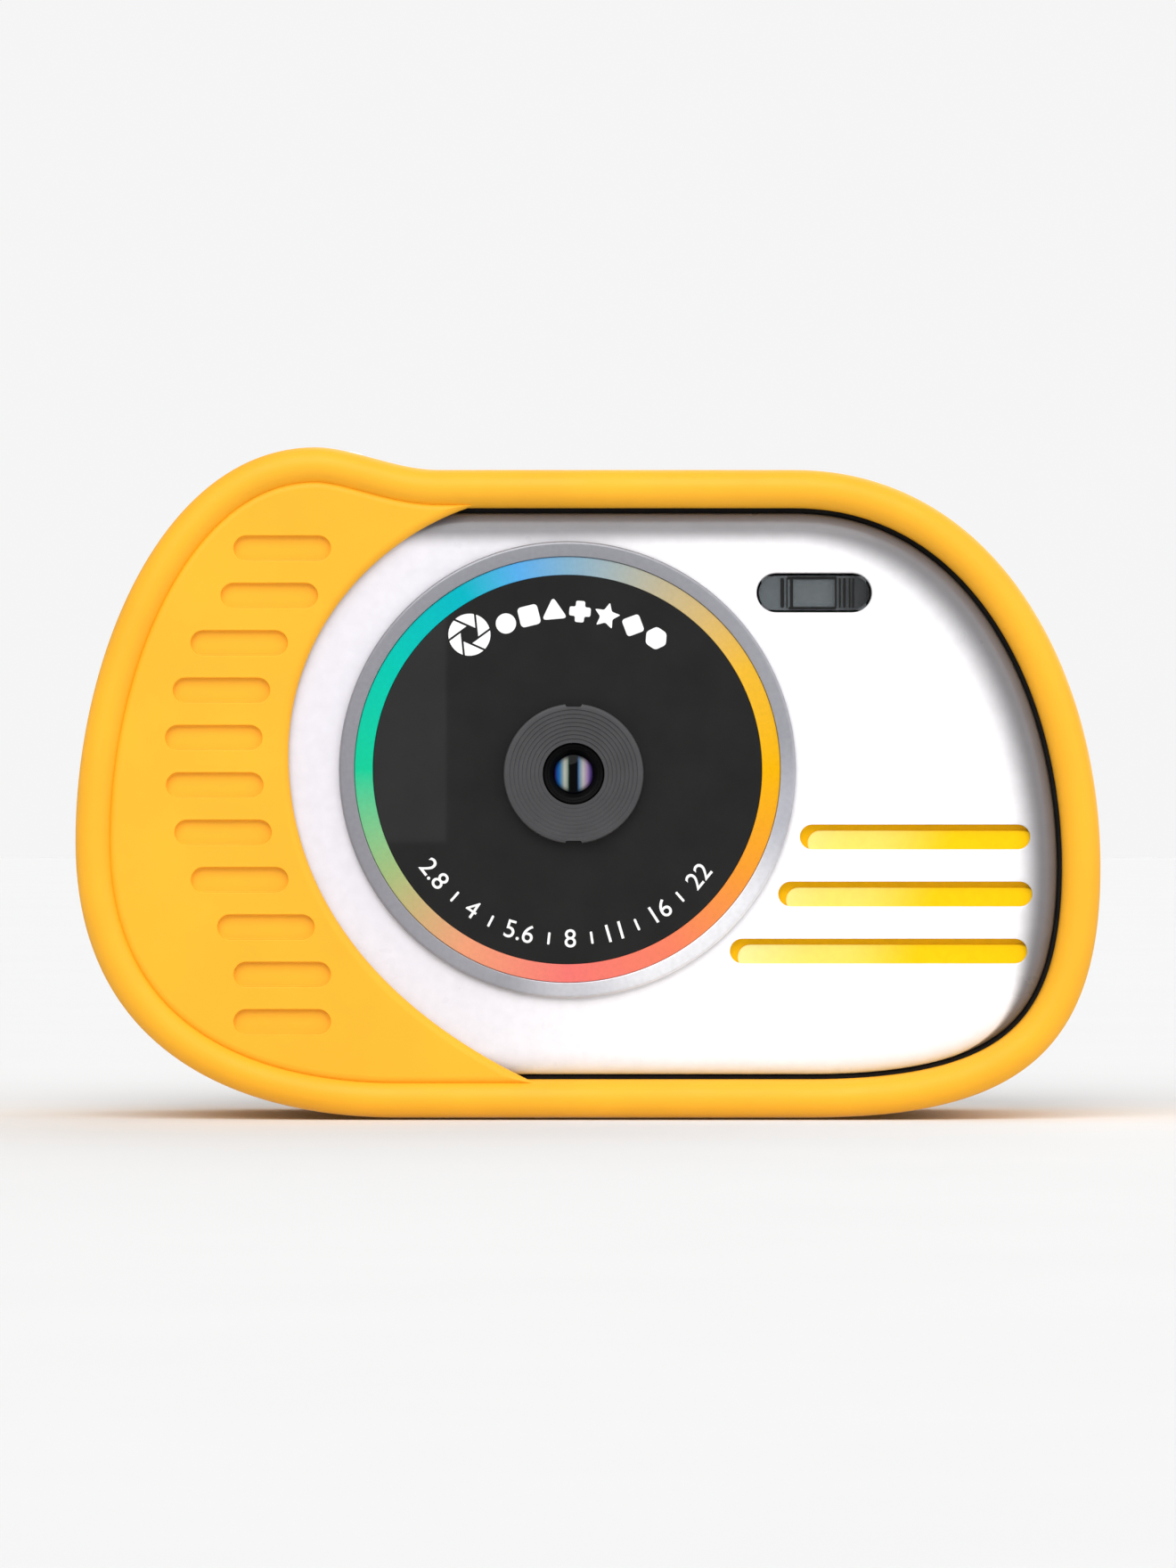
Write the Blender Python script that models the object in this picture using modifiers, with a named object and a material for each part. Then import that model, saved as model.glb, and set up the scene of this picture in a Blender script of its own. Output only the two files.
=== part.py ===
"""A kids' digital camera in a silicone case, built as an assembly of its separate pieces.

X runs to the right as one looks at the front of the camera, the front faces -Y and Z is up.
The origin is at the middle of the bottom of the camera's box.
"""

import math

import bmesh
import bpy
from mathutils import Matrix, Vector

# Sizes and places are in millimetres; the shape functions turn them into metres.
MM = 0.001
GAP = 0.3
OVERLAP = 0.5
WELD = 0.000001

# The case, seen from the front, counterclockwise: x, z, heading in degrees, the reach of the
# curve's handles before and after the point, and the number of steps to the next point.
CASE_OUTLINE = (
    (-18.5, 0.0, 0, 15.0, 7.0, 4),
    (21.5, 0.0, 0, 11.0, 20.0, 10),
    (50.0, 24.5, 90, 18.5, 19.0, 12),
    (20.0, 63.3, 180, 20.0, 8.0, 4),
    (-14.5, 63.3, 180, 4.7, 4.2, 6),
    (-26.5, 65.5, 180, 3.6, 15.0, 10),
    (-50.0, 27.0, 270, 18.0, 21.0, 10),
)
# The free edge of the grip panel, from the top down, in the same form.
GRIP_EDGE = (
    (-9.0, 60.2, 193, 0.0, 11.0, 9),
    (-29.1, 35.5, 270, 12.5, 16.0, 11),
    (-3.0, 2.6, -23, 15.5, 0.0, 0),
)

# Depths, from the front of the case to its back.
CASE_FRONT = -16.0
GRIP_FACE = -15.4
GRIP_LIP_BACK = -14.6
LIP_UNDERSIDE = 12.9
HOUSING_FRONT = -12.6
PLATE_FACE = -14.3
PLATE_BACK = -12.5
POCKET_FLOOR = -12.2
FRONT_WALL_INSIDE = -10.7
HOUSING_RIM = 4.2
COVER_RIM = 5.8
COVER_SHOULDER = 12.6
COVER_FACE = 14.8
COVER_SHOULDER_INSIDE = 11.1
COVER_INSIDE = 12.8

# The two rounded edges of the case's wall: how far in and how far forward each one's middle
# is, its half width and its half height; and the half depth of the upright side between them.
FRONT_EDGE = ((2.0, 14.0), 1.85, 2.0)
BACK_EDGE = ((3.2, -13.6), 2.8, 2.4)
CASE_SIDE = 7.5

# How far the edges of the flat pieces are rounded.
GRIP_ROUNDING = 0.65
PLATE_ROUNDING = 1.5
CROWN_ROUNDING = 0.7
POWER_ROUNDING = 0.4
SCREEN_GLASS_ROUNDING = 0.2

# Distances inward from the case's outline.
CASE_WALL = 2.0
RIM_WIDTH = 3.85
BACK_LIP_WIDTH = 6.0
GRIP_INSET = 3.55
HOUSING_INSET = 2.3
HOUSING_WALL = 1.6
BLACK_EDGE_INSET = 4.1
PLATE_INSET = 4.35
COVER_CROWN_INSET = 6.5
GASKET_INSET = 2.5
GASKET_WIDTH = 1.2

# How far back from the grip panel's edge its backing ends, and the plate tucked under it.
GRIP_BACKING_SHIFT = 1.5
PLATE_SHIFT = 1.2

# The lens: the ring and the disc share one centre, the hood and the barrel another.
RING_X, RING_Z = -2.0, 34.0
LENS_X, LENS_Z = -1.4, 33.6
BEZEL_RADIUS = 22.2
BEZEL_INSIDE = 20.7
COLOUR_RING_RADIUS = 20.5
RING_SEAT_RADIUS = 20.2
DISC_RADIUS = 18.9
DISC_OPENING = 6.0
HOOD_RADIUS = 6.8
HOOD_SLEEVE = 5.7
HOOD_MOUTH = 3.1
LENS_HOLE = 6.2
BARREL_LIP = 2.9
BARREL_RADIUS = 4.2
BEZEL_FACE = -15.0
DISC_FACE = -14.85
DISC_BACK = -13.9
RING_SEAT_FACE = -13.6
HOOD_FACE = -15.9
HOOD_END = -12.0

FLASH_X, FLASH_Z = 22.0, 51.2
FLASH_WIDTH, FLASH_HEIGHT = 11.2, 3.8

# The slots of the front plate: left end, right end, middle height.
SLOTS = ((20.6, 43.0, 27.45), (18.5, 43.2, 21.9), (13.8, 42.7, 16.35))
SLOT_HEIGHT = 2.4
SLOT_DEPTH = 0.9

# The grooves of the grip panel.
GROOVES = 11
GROOVE_LOWEST = 9.5
GROOVE_PITCH = 4.6
GROOVE_LENGTH = 9.4
GROOVE_HEIGHT = 2.4
GROOVE_DEPTH = 0.6
GROOVE_FROM_EDGE = 2.6
GROOVE_RIGHTMOST = -25.0

# The buttons on top.
BUTTON_Y = -3.5
SHUTTER_X = -26.5
SHUTTER_RADIUS = 4.5
SHUTTER_TOP = 65.3
SHUTTER_UNDERSIDE = 61.9
SHUTTER_STEM_END = 57.7
POWER_X = 2.0
POWER_WIDTH, POWER_DEPTH = 6.8, 3.4
POWER_TOP = 63.1
POWER_UNDERSIDE = 60.3
POWER_STEM_END = 56.2
TOP_BOARD_TOP = 53.1

# The rear keys: name, x, z, radius.
PAD_X, PAD_Z = -29.5, 32.0
PAD_REACH = 7.4
KEYS = (
    ("key_ok", PAD_X, PAD_Z, 3.2),
    ("key_up", PAD_X, PAD_Z + PAD_REACH, 2.9),
    ("key_down", PAD_X, PAD_Z - PAD_REACH, 2.9),
    ("key_left", PAD_X + PAD_REACH, PAD_Z, 2.9),
    ("key_right", PAD_X - PAD_REACH, PAD_Z, 2.9),
    ("key_mode", -21.5, 46.0, 2.4),
    ("key_play", -29.5, 47.5, 2.4),
)
KEY_FACE = 15.6
KEY_FLANGE = 0.45
KEY_FLANGE_FRONT = 11.6
KEY_FLANGE_BACK = 12.4

SCREEN_X, SCREEN_Z = 8.0, 33.0
SCREEN_GLASS_FACE = 14.9
SCREEN_RECESS_FLOOR = 13.8
WINDOW_WIDTH, WINDOW_HEIGHT = 46.0, 36.0
VIEW_WIDTH, VIEW_HEIGHT = 42.0, 31.5
LCD_WIDTH, LCD_HEIGHT = 44.0, 35.0

SPEAKER_X, SPEAKER_Z = 17.0, 11.8
MICROPHONE_X, MICROPHONE_Z = -8.0, 11.5
STATUS_X, STATUS_Z = -21.5, 19.5

# The case screws, x and z, and the two screws of the sensor board.
SCREWS = ((-35.2, 50.5), (-29.5, 12.0), (31.0, 10.0), (35.0, 46.0))
BOSS_RADIUS = 2.6
SCREW_HOLE = 1.3
SCREW_HEAD_RADIUS = 1.9
SCREW_SHANK_RADIUS = 1.0
SCREW_HEAD_SEAT = 13.3
SCREW_HEAD_TOP = 14.5
SCREW_TIP = -2.8
CROSS_LENGTH, CROSS_WIDTH = 2.2, 0.5
COUNTERBORE_RADIUS = 2.25
SENSOR_SCREW_HOLE = 1.1
SENSOR_SCREW_REACH = 9.5

# The door on the side, with its hinge at the lower end.
HINGE_X, HINGE_Z = 46.45, 11.2
KNUCKLE_RADIUS = 1.0
PIN_RADIUS = 0.4
PIN_HOLE = 0.65
DOOR_OUTSIDE, DOOR_INSIDE = 0.5, 1.9
DOOR_BOTTOM, DOOR_TOP = 12.7, 37.6
DOOR_FRONT, DOOR_BACK = -7.9, 1.5
PORT_BOTTOM, PORT_TOP = 13.6, 36.4
PORT_FRONT, PORT_BACK = -6.0, -0.2

YELLOW = (1.0, 0.56, 0.04)
WHITE = (0.92, 0.92, 0.93)
BLACK = (0.02, 0.02, 0.02)
GREY = (0.10, 0.10, 0.11)
SILVER = (0.55, 0.55, 0.58)
STEEL = (0.60, 0.60, 0.62)
BOARD_GREEN = (0.02, 0.20, 0.09)


# ---------------------------------------------------------------- outlines

def cubic(start, first_handle, second_handle, end, t):
    """Returns a point of a cubic curve and the curve's direction there."""
    s = 1.0 - t
    point = (start * s ** 3 + first_handle * 3 * s * s * t
             + second_handle * 3 * s * t * t + end * t ** 3)
    direction = ((first_handle - start) * 3 * s * s + (second_handle - first_handle) * 6 * s * t
                 + (end - second_handle) * 3 * t * t)
    return point, direction.normalized()


def heading_vector(degrees):
    return Vector((math.cos(math.radians(degrees)), math.sin(math.radians(degrees))))


def curve_points(anchors, inset, closed):
    """Returns points along a chain of curves, moved to the left of the way they run."""
    points = []
    count = len(anchors) if closed else len(anchors) - 1
    for index in range(count):
        x, z, heading, _, reach, steps = anchors[index]
        end_x, end_z, end_heading, end_reach, _, _ = anchors[(index + 1) % len(anchors)]
        start, end = Vector((x, z)), Vector((end_x, end_z))
        first_handle = start + heading_vector(heading) * reach
        second_handle = end - heading_vector(end_heading) * end_reach
        last = steps + 1 if not closed and index == count - 1 else steps
        for step in range(last):
            point, direction = cubic(start, first_handle, second_handle, end, step / steps)
            points.append(point + Vector((-direction.y, direction.x)) * inset)
    return points


def case_points(inset):
    """Returns the case's outline, moved inward."""
    return curve_points(CASE_OUTLINE, inset, closed=True)


def grip_points(shift):
    """Returns the area left of the grip panel's edge, drawn back by shift."""
    edge = curve_points(GRIP_EDGE, -shift, closed=False)
    beyond = 80.0
    return edge + [Vector((edge[-1].x, -beyond)), Vector((-beyond, -beyond)),
                   Vector((-beyond, beyond)), Vector((edge[0].x, beyond))]


def grip_edge_x(z):
    """Returns where the grip panel's edge is at a height."""
    edge = curve_points(GRIP_EDGE, 0.0, closed=False)
    for upper, lower in zip(edge, edge[1:]):
        if lower.y <= z <= upper.y:
            share = (z - lower.y) / (upper.y - lower.y)
            return lower.x + (upper.x - lower.x) * share
    return edge[-1].x


def arc_points(x, z, radius, start, sweep, steps):
    """Returns the points of an arc; angles are in degrees."""
    return [Vector((x, z)) + heading_vector(start + sweep * step / steps) * radius
            for step in range(steps + 1)]


def rounded_box_points(x, z, width, height, radius, steps=4):
    """Returns a rectangle with round corners; a slot where the radius is half its height."""
    right, top = width / 2 - radius, height / 2 - radius
    corners = ((right, -top, -90), (right, top, 0), (-right, top, 90), (-right, -top, 180))
    points = []
    for corner_x, corner_z, start in corners:
        points += arc_points(x + corner_x, z + corner_z, radius, start, 90, steps)
    return points


def wall_band_points(outer_inset, inner_inset, bottom, top):
    """Returns a strip of the right-hand wall between two heights."""
    def side(inset):
        points = [p for p in case_points(inset) if p.x > 0]
        inside = [p for p in points if bottom < p.y < top]
        below = max((p for p in points if p.y <= bottom), key=lambda p: p.y)
        above = min((p for p in points if p.y >= top), key=lambda p: p.y)

        def cross(first, second, z):
            share = (z - first.y) / (second.y - first.y)
            return Vector((first.x + (second.x - first.x) * share, z))
        return ([cross(below, inside[0], bottom)] + inside + [cross(inside[-1], above, top)])
    return side(outer_inset) + list(reversed(side(inner_inset)))


# ---------------------------------------------------------------- shapes

def new_collection(name):
    collection = bpy.data.collections.new(name)
    bpy.context.scene.collection.children.link(collection)
    return collection


def start_scene():
    for old in list(bpy.data.objects):
        bpy.data.objects.remove(old, do_unlink=True)


def add_object(name, data, location=(0, 0, 0), rotation=(0, 0, 0)):
    """Adds an object to the parts; the location is in millimetres, the rotation in degrees."""
    part = bpy.data.objects.new(name, data)
    part.location = Vector(location) * MM
    part.rotation_euler = [math.radians(angle) for angle in rotation]
    PARTS.objects.link(part)
    bpy.context.view_layer.update()
    return part


def evaluated_mesh(part):
    depsgraph = bpy.context.evaluated_depsgraph_get()
    return bpy.data.meshes.new_from_object(part.evaluated_get(depsgraph))


def weld(mesh):
    """Joins a curve's loose caps to its sides and makes each cap one face."""
    work = bmesh.new()
    work.from_mesh(mesh)
    bmesh.ops.remove_doubles(work, verts=work.verts, dist=WELD)
    bmesh.ops.recalc_face_normals(work, faces=work.faces)
    bmesh.ops.dissolve_limit(work, angle_limit=math.radians(0.1), use_dissolve_boundaries=False,
                             verts=work.verts, edges=work.edges)
    work.to_mesh(mesh)
    work.free()


def solid_from_curve(curve_object):
    """Turns a curve object into a mesh object in the same place."""
    name = curve_object.name
    mesh = evaluated_mesh(curve_object)
    weld(mesh)
    matrix = curve_object.matrix_world.copy()
    curve = curve_object.data
    bpy.data.objects.remove(curve_object, do_unlink=True)
    bpy.data.curves.remove(curve)
    solid = add_object(name, mesh)
    solid.name = name
    solid.matrix_world = matrix
    bpy.context.view_layer.update()
    return solid


def poly_curve(name, points, dimensions):
    curve = bpy.data.curves.new(name, "CURVE")
    curve.dimensions = dimensions
    spline = curve.splines.new("POLY")
    spline.points.add(len(points) - 1)
    for target, point in zip(spline.points, points):
        depth = point[2] if len(point) > 2 else 0.0
        target.co = (point[0] * MM, point[1] * MM, depth * MM, 1.0)
    return curve, spline


def flat(name, points, front, back, hole=None):
    """Extrudes an outline, seen from the front, between two depths."""
    curve, spline = poly_curve(name, points, "2D")
    spline.use_cyclic_u = True
    if hole:
        inner = curve.splines.new("POLY")
        inner.points.add(len(hole) - 1)
        for target, point in zip(inner.points, hole):
            target.co = (point[0] * MM, point[1] * MM, 0.0, 1.0)
        inner.use_cyclic_u = True
    curve.fill_mode = "BOTH"
    curve.extrude = (back - front) / 2 * MM
    return solid_from_curve(add_object(name, curve, (0, (front + back) / 2, 0), (90, 0, 0)))


def upright(name, points, x, y, bottom, top):
    """Extrudes an outline, seen from above and centred on x and y, between two heights."""
    curve, spline = poly_curve(name, points, "2D")
    spline.use_cyclic_u = True
    curve.fill_mode = "BOTH"
    curve.extrude = (top - bottom) / 2 * MM
    solid = solid_from_curve(add_object(name, curve, (x, y, (bottom + top) / 2)))
    return solid


def sideways(name, points, left, right):
    """Extrudes an outline in y and z along x."""
    curve, spline = poly_curve(name, points, "2D")
    spline.use_cyclic_u = True
    curve.fill_mode = "BOTH"
    curve.extrude = (right - left) / 2 * MM
    return solid_from_curve(add_object(name, curve, ((left + right) / 2, 0, 0), (90, 0, 90)))


def box(name, x_range, y_range, z_range, bevel=0.0):
    """Makes a box between three pairs of limits."""
    size = [high - low for low, high in (x_range, y_range, z_range)]
    centre = [(high + low) / 2 for low, high in (x_range, y_range, z_range)]
    bpy.ops.mesh.primitive_cube_add(size=MM, location=Vector(centre) * MM)
    part = bpy.context.object
    part.name = name
    part.data.transform(Matrix.Diagonal((*size, 1.0)))
    for owner in list(part.users_collection):
        owner.objects.unlink(part)
    PARTS.objects.link(part)
    if bevel:
        rounding = part.modifiers.new("Bevel", "BEVEL")
        rounding.width = bevel * MM
        rounding.segments = 2
        part.data = evaluated_after_update(part)
        part.modifiers.clear()
    return part


def evaluated_after_update(part):
    bpy.context.view_layer.update()
    return evaluated_mesh(part)


def cylinder(name, radius, start, end, steps=24):
    """Makes a cylinder between the middles of its two ends."""
    start, end = Vector(start), Vector(end)
    mesh = bpy.data.meshes.new(name)
    work = bmesh.new()
    bmesh.ops.create_cone(work, cap_ends=True, segments=steps, radius1=radius * MM,
                          radius2=radius * MM, depth=(end - start).length * MM)
    work.to_mesh(mesh)
    work.free()
    part = add_object(name, mesh, (start + end) / 2)
    part.rotation_euler = (end - start).to_track_quat("Z", "Y").to_euler()
    bpy.context.view_layer.update()
    return part


def turned(name, profile, location, rotation, steps=48, closed=False):
    """Turns a profile of radius and height about an axis, its outer side running down."""
    mesh = bpy.data.meshes.new(name)
    work = bmesh.new()
    rims = [work.verts.new((radius * MM, 0.0, height * MM)) for radius, height in profile]
    for first, second in zip(rims, rims[1:]):
        work.edges.new((first, second))
    if closed:
        work.edges.new((rims[-1], rims[0]))
    work.to_mesh(mesh)
    work.free()
    part = add_object(name, mesh, location, rotation)
    screw = part.modifiers.new("Screw", "SCREW")
    screw.steps = steps
    screw.render_steps = steps
    screw.use_merge_vertices = True
    screw.merge_threshold = WELD
    part.data = evaluated_after_update(part)
    part.modifiers.clear()
    return part


def turned_front(name, profile, x, z, steps=48, closed=False):
    """Turns a profile of radius and depth about an axis that points out of the front."""
    return turned(name, [(radius, -depth) for radius, depth in profile],
                  (x, 0, z), (90, 0, 0), steps, closed)


def turned_back(name, profile, x, z, steps=24, closed=False):
    """Turns a profile of radius and depth about an axis that points out of the back."""
    return turned(name, profile, (x, 0, z), (-90, 0, 0), steps, closed)


def combine(part, tool, operation):
    """Cuts or joins a part with a tool, and removes the tool."""
    modifier = part.modifiers.new("Boolean", "BOOLEAN")
    modifier.operation = operation
    modifier.solver = "EXACT"
    modifier.object = tool
    part.data = evaluated_after_update(part)
    part.modifiers.clear()
    bpy.data.objects.remove(tool, do_unlink=True)
    return part


def cut(part, tool):
    return combine(part, tool, "DIFFERENCE")


def join(part, tool):
    return combine(part, tool, "UNION")


def keep_common(part, tool):
    return combine(part, tool, "INTERSECT")


def round_edges_at(part, axis, level, width, segments=2):
    """Rounds the edges of a piece that lie at one depth (axis Y) or one height (axis Z)."""
    matrix = part.matrix_world
    work = bmesh.new()
    work.from_mesh(part.data)
    bmesh.ops.dissolve_limit(work, angle_limit=math.radians(0.1), use_dissolve_boundaries=False,
                             verts=work.verts, edges=work.edges)
    tolerance = 0.01
    rim = [edge for edge in work.edges
           if all(abs((matrix @ vert.co)["XYZ".index(axis)] / MM - level) < tolerance
                  for vert in edge.verts)]
    bmesh.ops.bevel(work, geom=rim, offset=width * MM, segments=segments, affect="EDGES",
                    profile=0.5, clamp_overlap=True)
    work.to_mesh(part.data)
    work.free()
    return part


def finish(part, colour, roughness, metallic=0.0):
    """Gives a piece its material and its smooth shading."""
    surface = bpy.data.materials.new(part.name)
    surface.use_nodes = True
    shader = surface.node_tree.nodes["Principled BSDF"]
    shader.inputs["Base Color"].default_value = (*colour, 1.0)
    shader.inputs["Roughness"].default_value = roughness
    shader.inputs["Metallic"].default_value = metallic
    part.data.materials.clear()
    part.data.materials.append(surface)
    part.data.shade_smooth()
    part.data.set_sharp_from_angle(angle=math.radians(35))
    return part


# ---------------------------------------------------------------- case and housing

def case_profile():
    """Makes the section of the case's wall: distance inward, and depth forward."""
    def edge(shape, angles):
        centre, width, height = shape
        return [Vector(centre) + Vector((-math.cos(math.radians(angle)) * width,
                                         math.sin(math.radians(angle)) * height))
                for angle in angles]
    rim = edge(FRONT_EDGE, range(0, 181, 30))
    inside = [Vector((RIM_WIDTH, LIP_UNDERSIDE)), Vector((CASE_WALL, LIP_UNDERSIDE)),
              Vector((CASE_WALL, -LIP_UNDERSIDE)), Vector((BACK_LIP_WIDTH, -LIP_UNDERSIDE))]
    back = edge(BACK_EDGE, range(180, 361, 30))
    outside = [Vector((0.0, -CASE_SIDE)), Vector((0.0, CASE_SIDE))]
    return rim + inside + back + outside


def silicone_case():
    curve, spline = poly_curve("case_section", case_profile(), "2D")
    spline.use_cyclic_u = True
    section = add_object("case_section", curve)
    path, path_spline = poly_curve("silicone_case", case_points(0.0), "2D")
    path_spline.use_cyclic_u = True
    path.fill_mode = "NONE"
    path.bevel_mode = "OBJECT"
    path.bevel_object = section
    case = solid_from_curve(add_object("silicone_case", path, (0, 0, 0), (90, 0, 0)))
    bpy.data.objects.remove(section, do_unlink=True)

    panel = flat("grip_panel", case_points(GRIP_INSET), GRIP_FACE, GRIP_LIP_BACK)
    keep_common(panel, flat("grip_area", grip_points(0.0), CASE_FRONT, HOUSING_FRONT))
    round_edges_at(panel, "Y", GRIP_FACE, GRIP_ROUNDING)
    backing = flat("grip_backing", case_points(GRIP_INSET), GRIP_LIP_BACK - 0.2, -LIP_UNDERSIDE)
    keep_common(backing, flat("grip_area", grip_points(GRIP_BACKING_SHIFT), CASE_FRONT, 0.0))
    join(case, panel)
    join(case, backing)

    for index in range(GROOVES):
        z = GROOVE_LOWEST + GROOVE_PITCH * index
        right = min(grip_edge_x(z) - GROOVE_FROM_EDGE, GROOVE_RIGHTMOST)
        outline = rounded_box_points(right - GROOVE_LENGTH / 2, z, GROOVE_LENGTH,
                                     GROOVE_HEIGHT, GROOVE_HEIGHT / 2, 3)
        cut(case, flat("groove", outline, CASE_FRONT - 1, GRIP_FACE + GROOVE_DEPTH))

    opening_radius = SHUTTER_RADIUS + 0.5
    cut(case, cylinder("opening", opening_radius, (SHUTTER_X, BUTTON_Y, 62.5),
                       (SHUTTER_X, BUTTON_Y, 68.0), 32))
    slot = rounded_box_points(0, 0, POWER_WIDTH + 1.0, POWER_DEPTH + 1.0, POWER_DEPTH / 2 + 0.5)
    cut(case, upright("opening", slot, POWER_X, BUTTON_Y, 60.8, 65.0))
    middle_y = (DOOR_FRONT + DOOR_BACK) / 2
    window_bottom, window_top = HINGE_Z - 2.3, DOOR_TOP + 0.7
    window = rounded_box_points(middle_y, (window_bottom + window_top) / 2,
                                DOOR_BACK - DOOR_FRONT + 0.8, window_top - window_bottom, 1.5)
    cut(case, sideways("opening", window, 43.0, 52.0))
    return finish(case, YELLOW, 0.5)


def front_plate():
    plate = flat("front_plate", case_points(PLATE_INSET), PLATE_FACE, PLATE_BACK)
    round_edges_at(plate, "Y", PLATE_FACE, PLATE_ROUNDING, 3)
    cut(plate, flat("grip_area", grip_points(PLATE_SHIFT), CASE_FRONT, 0.0))
    cut(plate, cylinder("opening", BEZEL_RADIUS - 0.3, (RING_X, -18, RING_Z),
                        (RING_X, -10, RING_Z), 48))
    window = rounded_box_points(FLASH_X, FLASH_Z, FLASH_WIDTH, FLASH_HEIGHT,
                                FLASH_HEIGHT / 2, 6)
    cut(plate, flat("opening", window, -18, -10))
    for left, right, z in SLOTS:
        slot = rounded_box_points((left + right) / 2, z, right - left, SLOT_HEIGHT,
                                  SLOT_HEIGHT / 2, 5)
        cut(plate, flat("opening", slot, -18, -10))
    cut(plate, flat("pocket", stripe_points(GAP), PLATE_FACE + SLOT_DEPTH, 0.0))
    return finish(plate, WHITE, 0.3)


def grown(points, distance):
    """Moves the sides of a counterclockwise polygon outward."""
    result = []
    for index, point in enumerate(points):
        before = (point - points[index - 1]).normalized()
        after = (points[(index + 1) % len(points)] - point).normalized()
        outward = [Vector((side.y, -side.x)) for side in (before, after)]
        corner = (outward[0] + outward[1]).normalized()
        result.append(point + corner * distance / corner.dot(outward[0]))
    return result


def stripe_points(grow):
    """Returns the outline of the insert behind the three slots, which clears the lens ring."""
    margin = 0.9
    left_ends = [Vector((left - margin, z)) for left, _, z in SLOTS]
    right = max(right for _, right, _ in SLOTS) + margin
    bottom = SLOTS[2][2] - SLOT_HEIGHT / 2 - margin
    top = SLOTS[0][2] + SLOT_HEIGHT / 2 + margin
    outline = [Vector((left_ends[2].x, bottom)), Vector((right, bottom)), Vector((right, top)),
               Vector((left_ends[0].x, top)), Vector((left_ends[0].x, left_ends[0].y - 1.2)),
               Vector((left_ends[1].x, left_ends[1].y + 1.4)),
               Vector((left_ends[1].x, left_ends[1].y - 1.6)),
               Vector((left_ends[2].x + 1.2, left_ends[2].y + 1.8)),
               Vector((left_ends[2].x, left_ends[2].y + 0.4))]
    return grown(outline, grow)


def stripe_insert():
    insert = flat("stripe_insert", stripe_points(0.0), PLATE_FACE + SLOT_DEPTH + 0.2,
                  PLATE_BACK)
    return finish(insert, (1.0, 0.62, 0.0), 0.35)


def boss_tool(x, z, start, end):
    return cylinder("boss", BOSS_RADIUS, (x, start, z), (x, end, z), 16)


def add_button_wells(housing):
    """Adds a cup under each top button, with a hole for the button's stem."""
    join(housing, cylinder("cup", 6.2, (SHUTTER_X, BUTTON_Y, 59.2),
                           (SHUTTER_X, BUTTON_Y, 61.0), 24))
    cut(housing, cylinder("well", SHUTTER_RADIUS + 0.4, (SHUTTER_X, BUTTON_Y, 60.6),
                          (SHUTTER_X, BUTTON_Y, 68.0), 32))
    cut(housing, cylinder("stem_hole", 1.9, (SHUTTER_X, BUTTON_Y, 58.0),
                          (SHUTTER_X, BUTTON_Y, 61.0), 16))
    cup = rounded_box_points(0, 0, POWER_WIDTH + 3.4, POWER_DEPTH + 3.4, 3.0)
    join(housing, upright("cup", cup, POWER_X, BUTTON_Y, 57.6, 60.4))
    well = rounded_box_points(0, 0, POWER_WIDTH + 0.8, POWER_DEPTH + 0.8, POWER_DEPTH / 2 + 0.4)
    cut(housing, upright("well", well, POWER_X, BUTTON_Y, 58.9, 66.0))
    cut(housing, cylinder("stem_hole", 1.4, (POWER_X, BUTTON_Y, 57.0),
                          (POWER_X, BUTTON_Y, 59.5), 16))


def add_port(housing):
    """Adds the opening for the sockets and the two lugs of the door's hinge."""
    for low, high in ((DOOR_FRONT, DOOR_FRONT + 1.0), (DOOR_BACK - 1.0, DOOR_BACK)):
        join(housing, cylinder("lug", KNUCKLE_RADIUS, (HINGE_X, low, HINGE_Z),
                               (HINGE_X, high, HINGE_Z), 20))
        join(housing, box("lug_foot", (HINGE_X - 3.0, HINGE_X), (low, high),
                          (HINGE_Z - KNUCKLE_RADIUS + 0.05, HINGE_Z + KNUCKLE_RADIUS - 0.05)))
    cut(housing, cylinder("pin_hole", PIN_HOLE, (HINGE_X, DOOR_FRONT - 2, HINGE_Z),
                          (HINGE_X, DOOR_BACK + 2, HINGE_Z), 16))
    opening = rounded_box_points((PORT_FRONT + PORT_BACK) / 2, (PORT_BOTTOM + PORT_TOP) / 2,
                                 PORT_BACK - PORT_FRONT, PORT_TOP - PORT_BOTTOM, 0.6)
    cut(housing, sideways("opening", opening, 42.0, 52.0))


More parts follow.
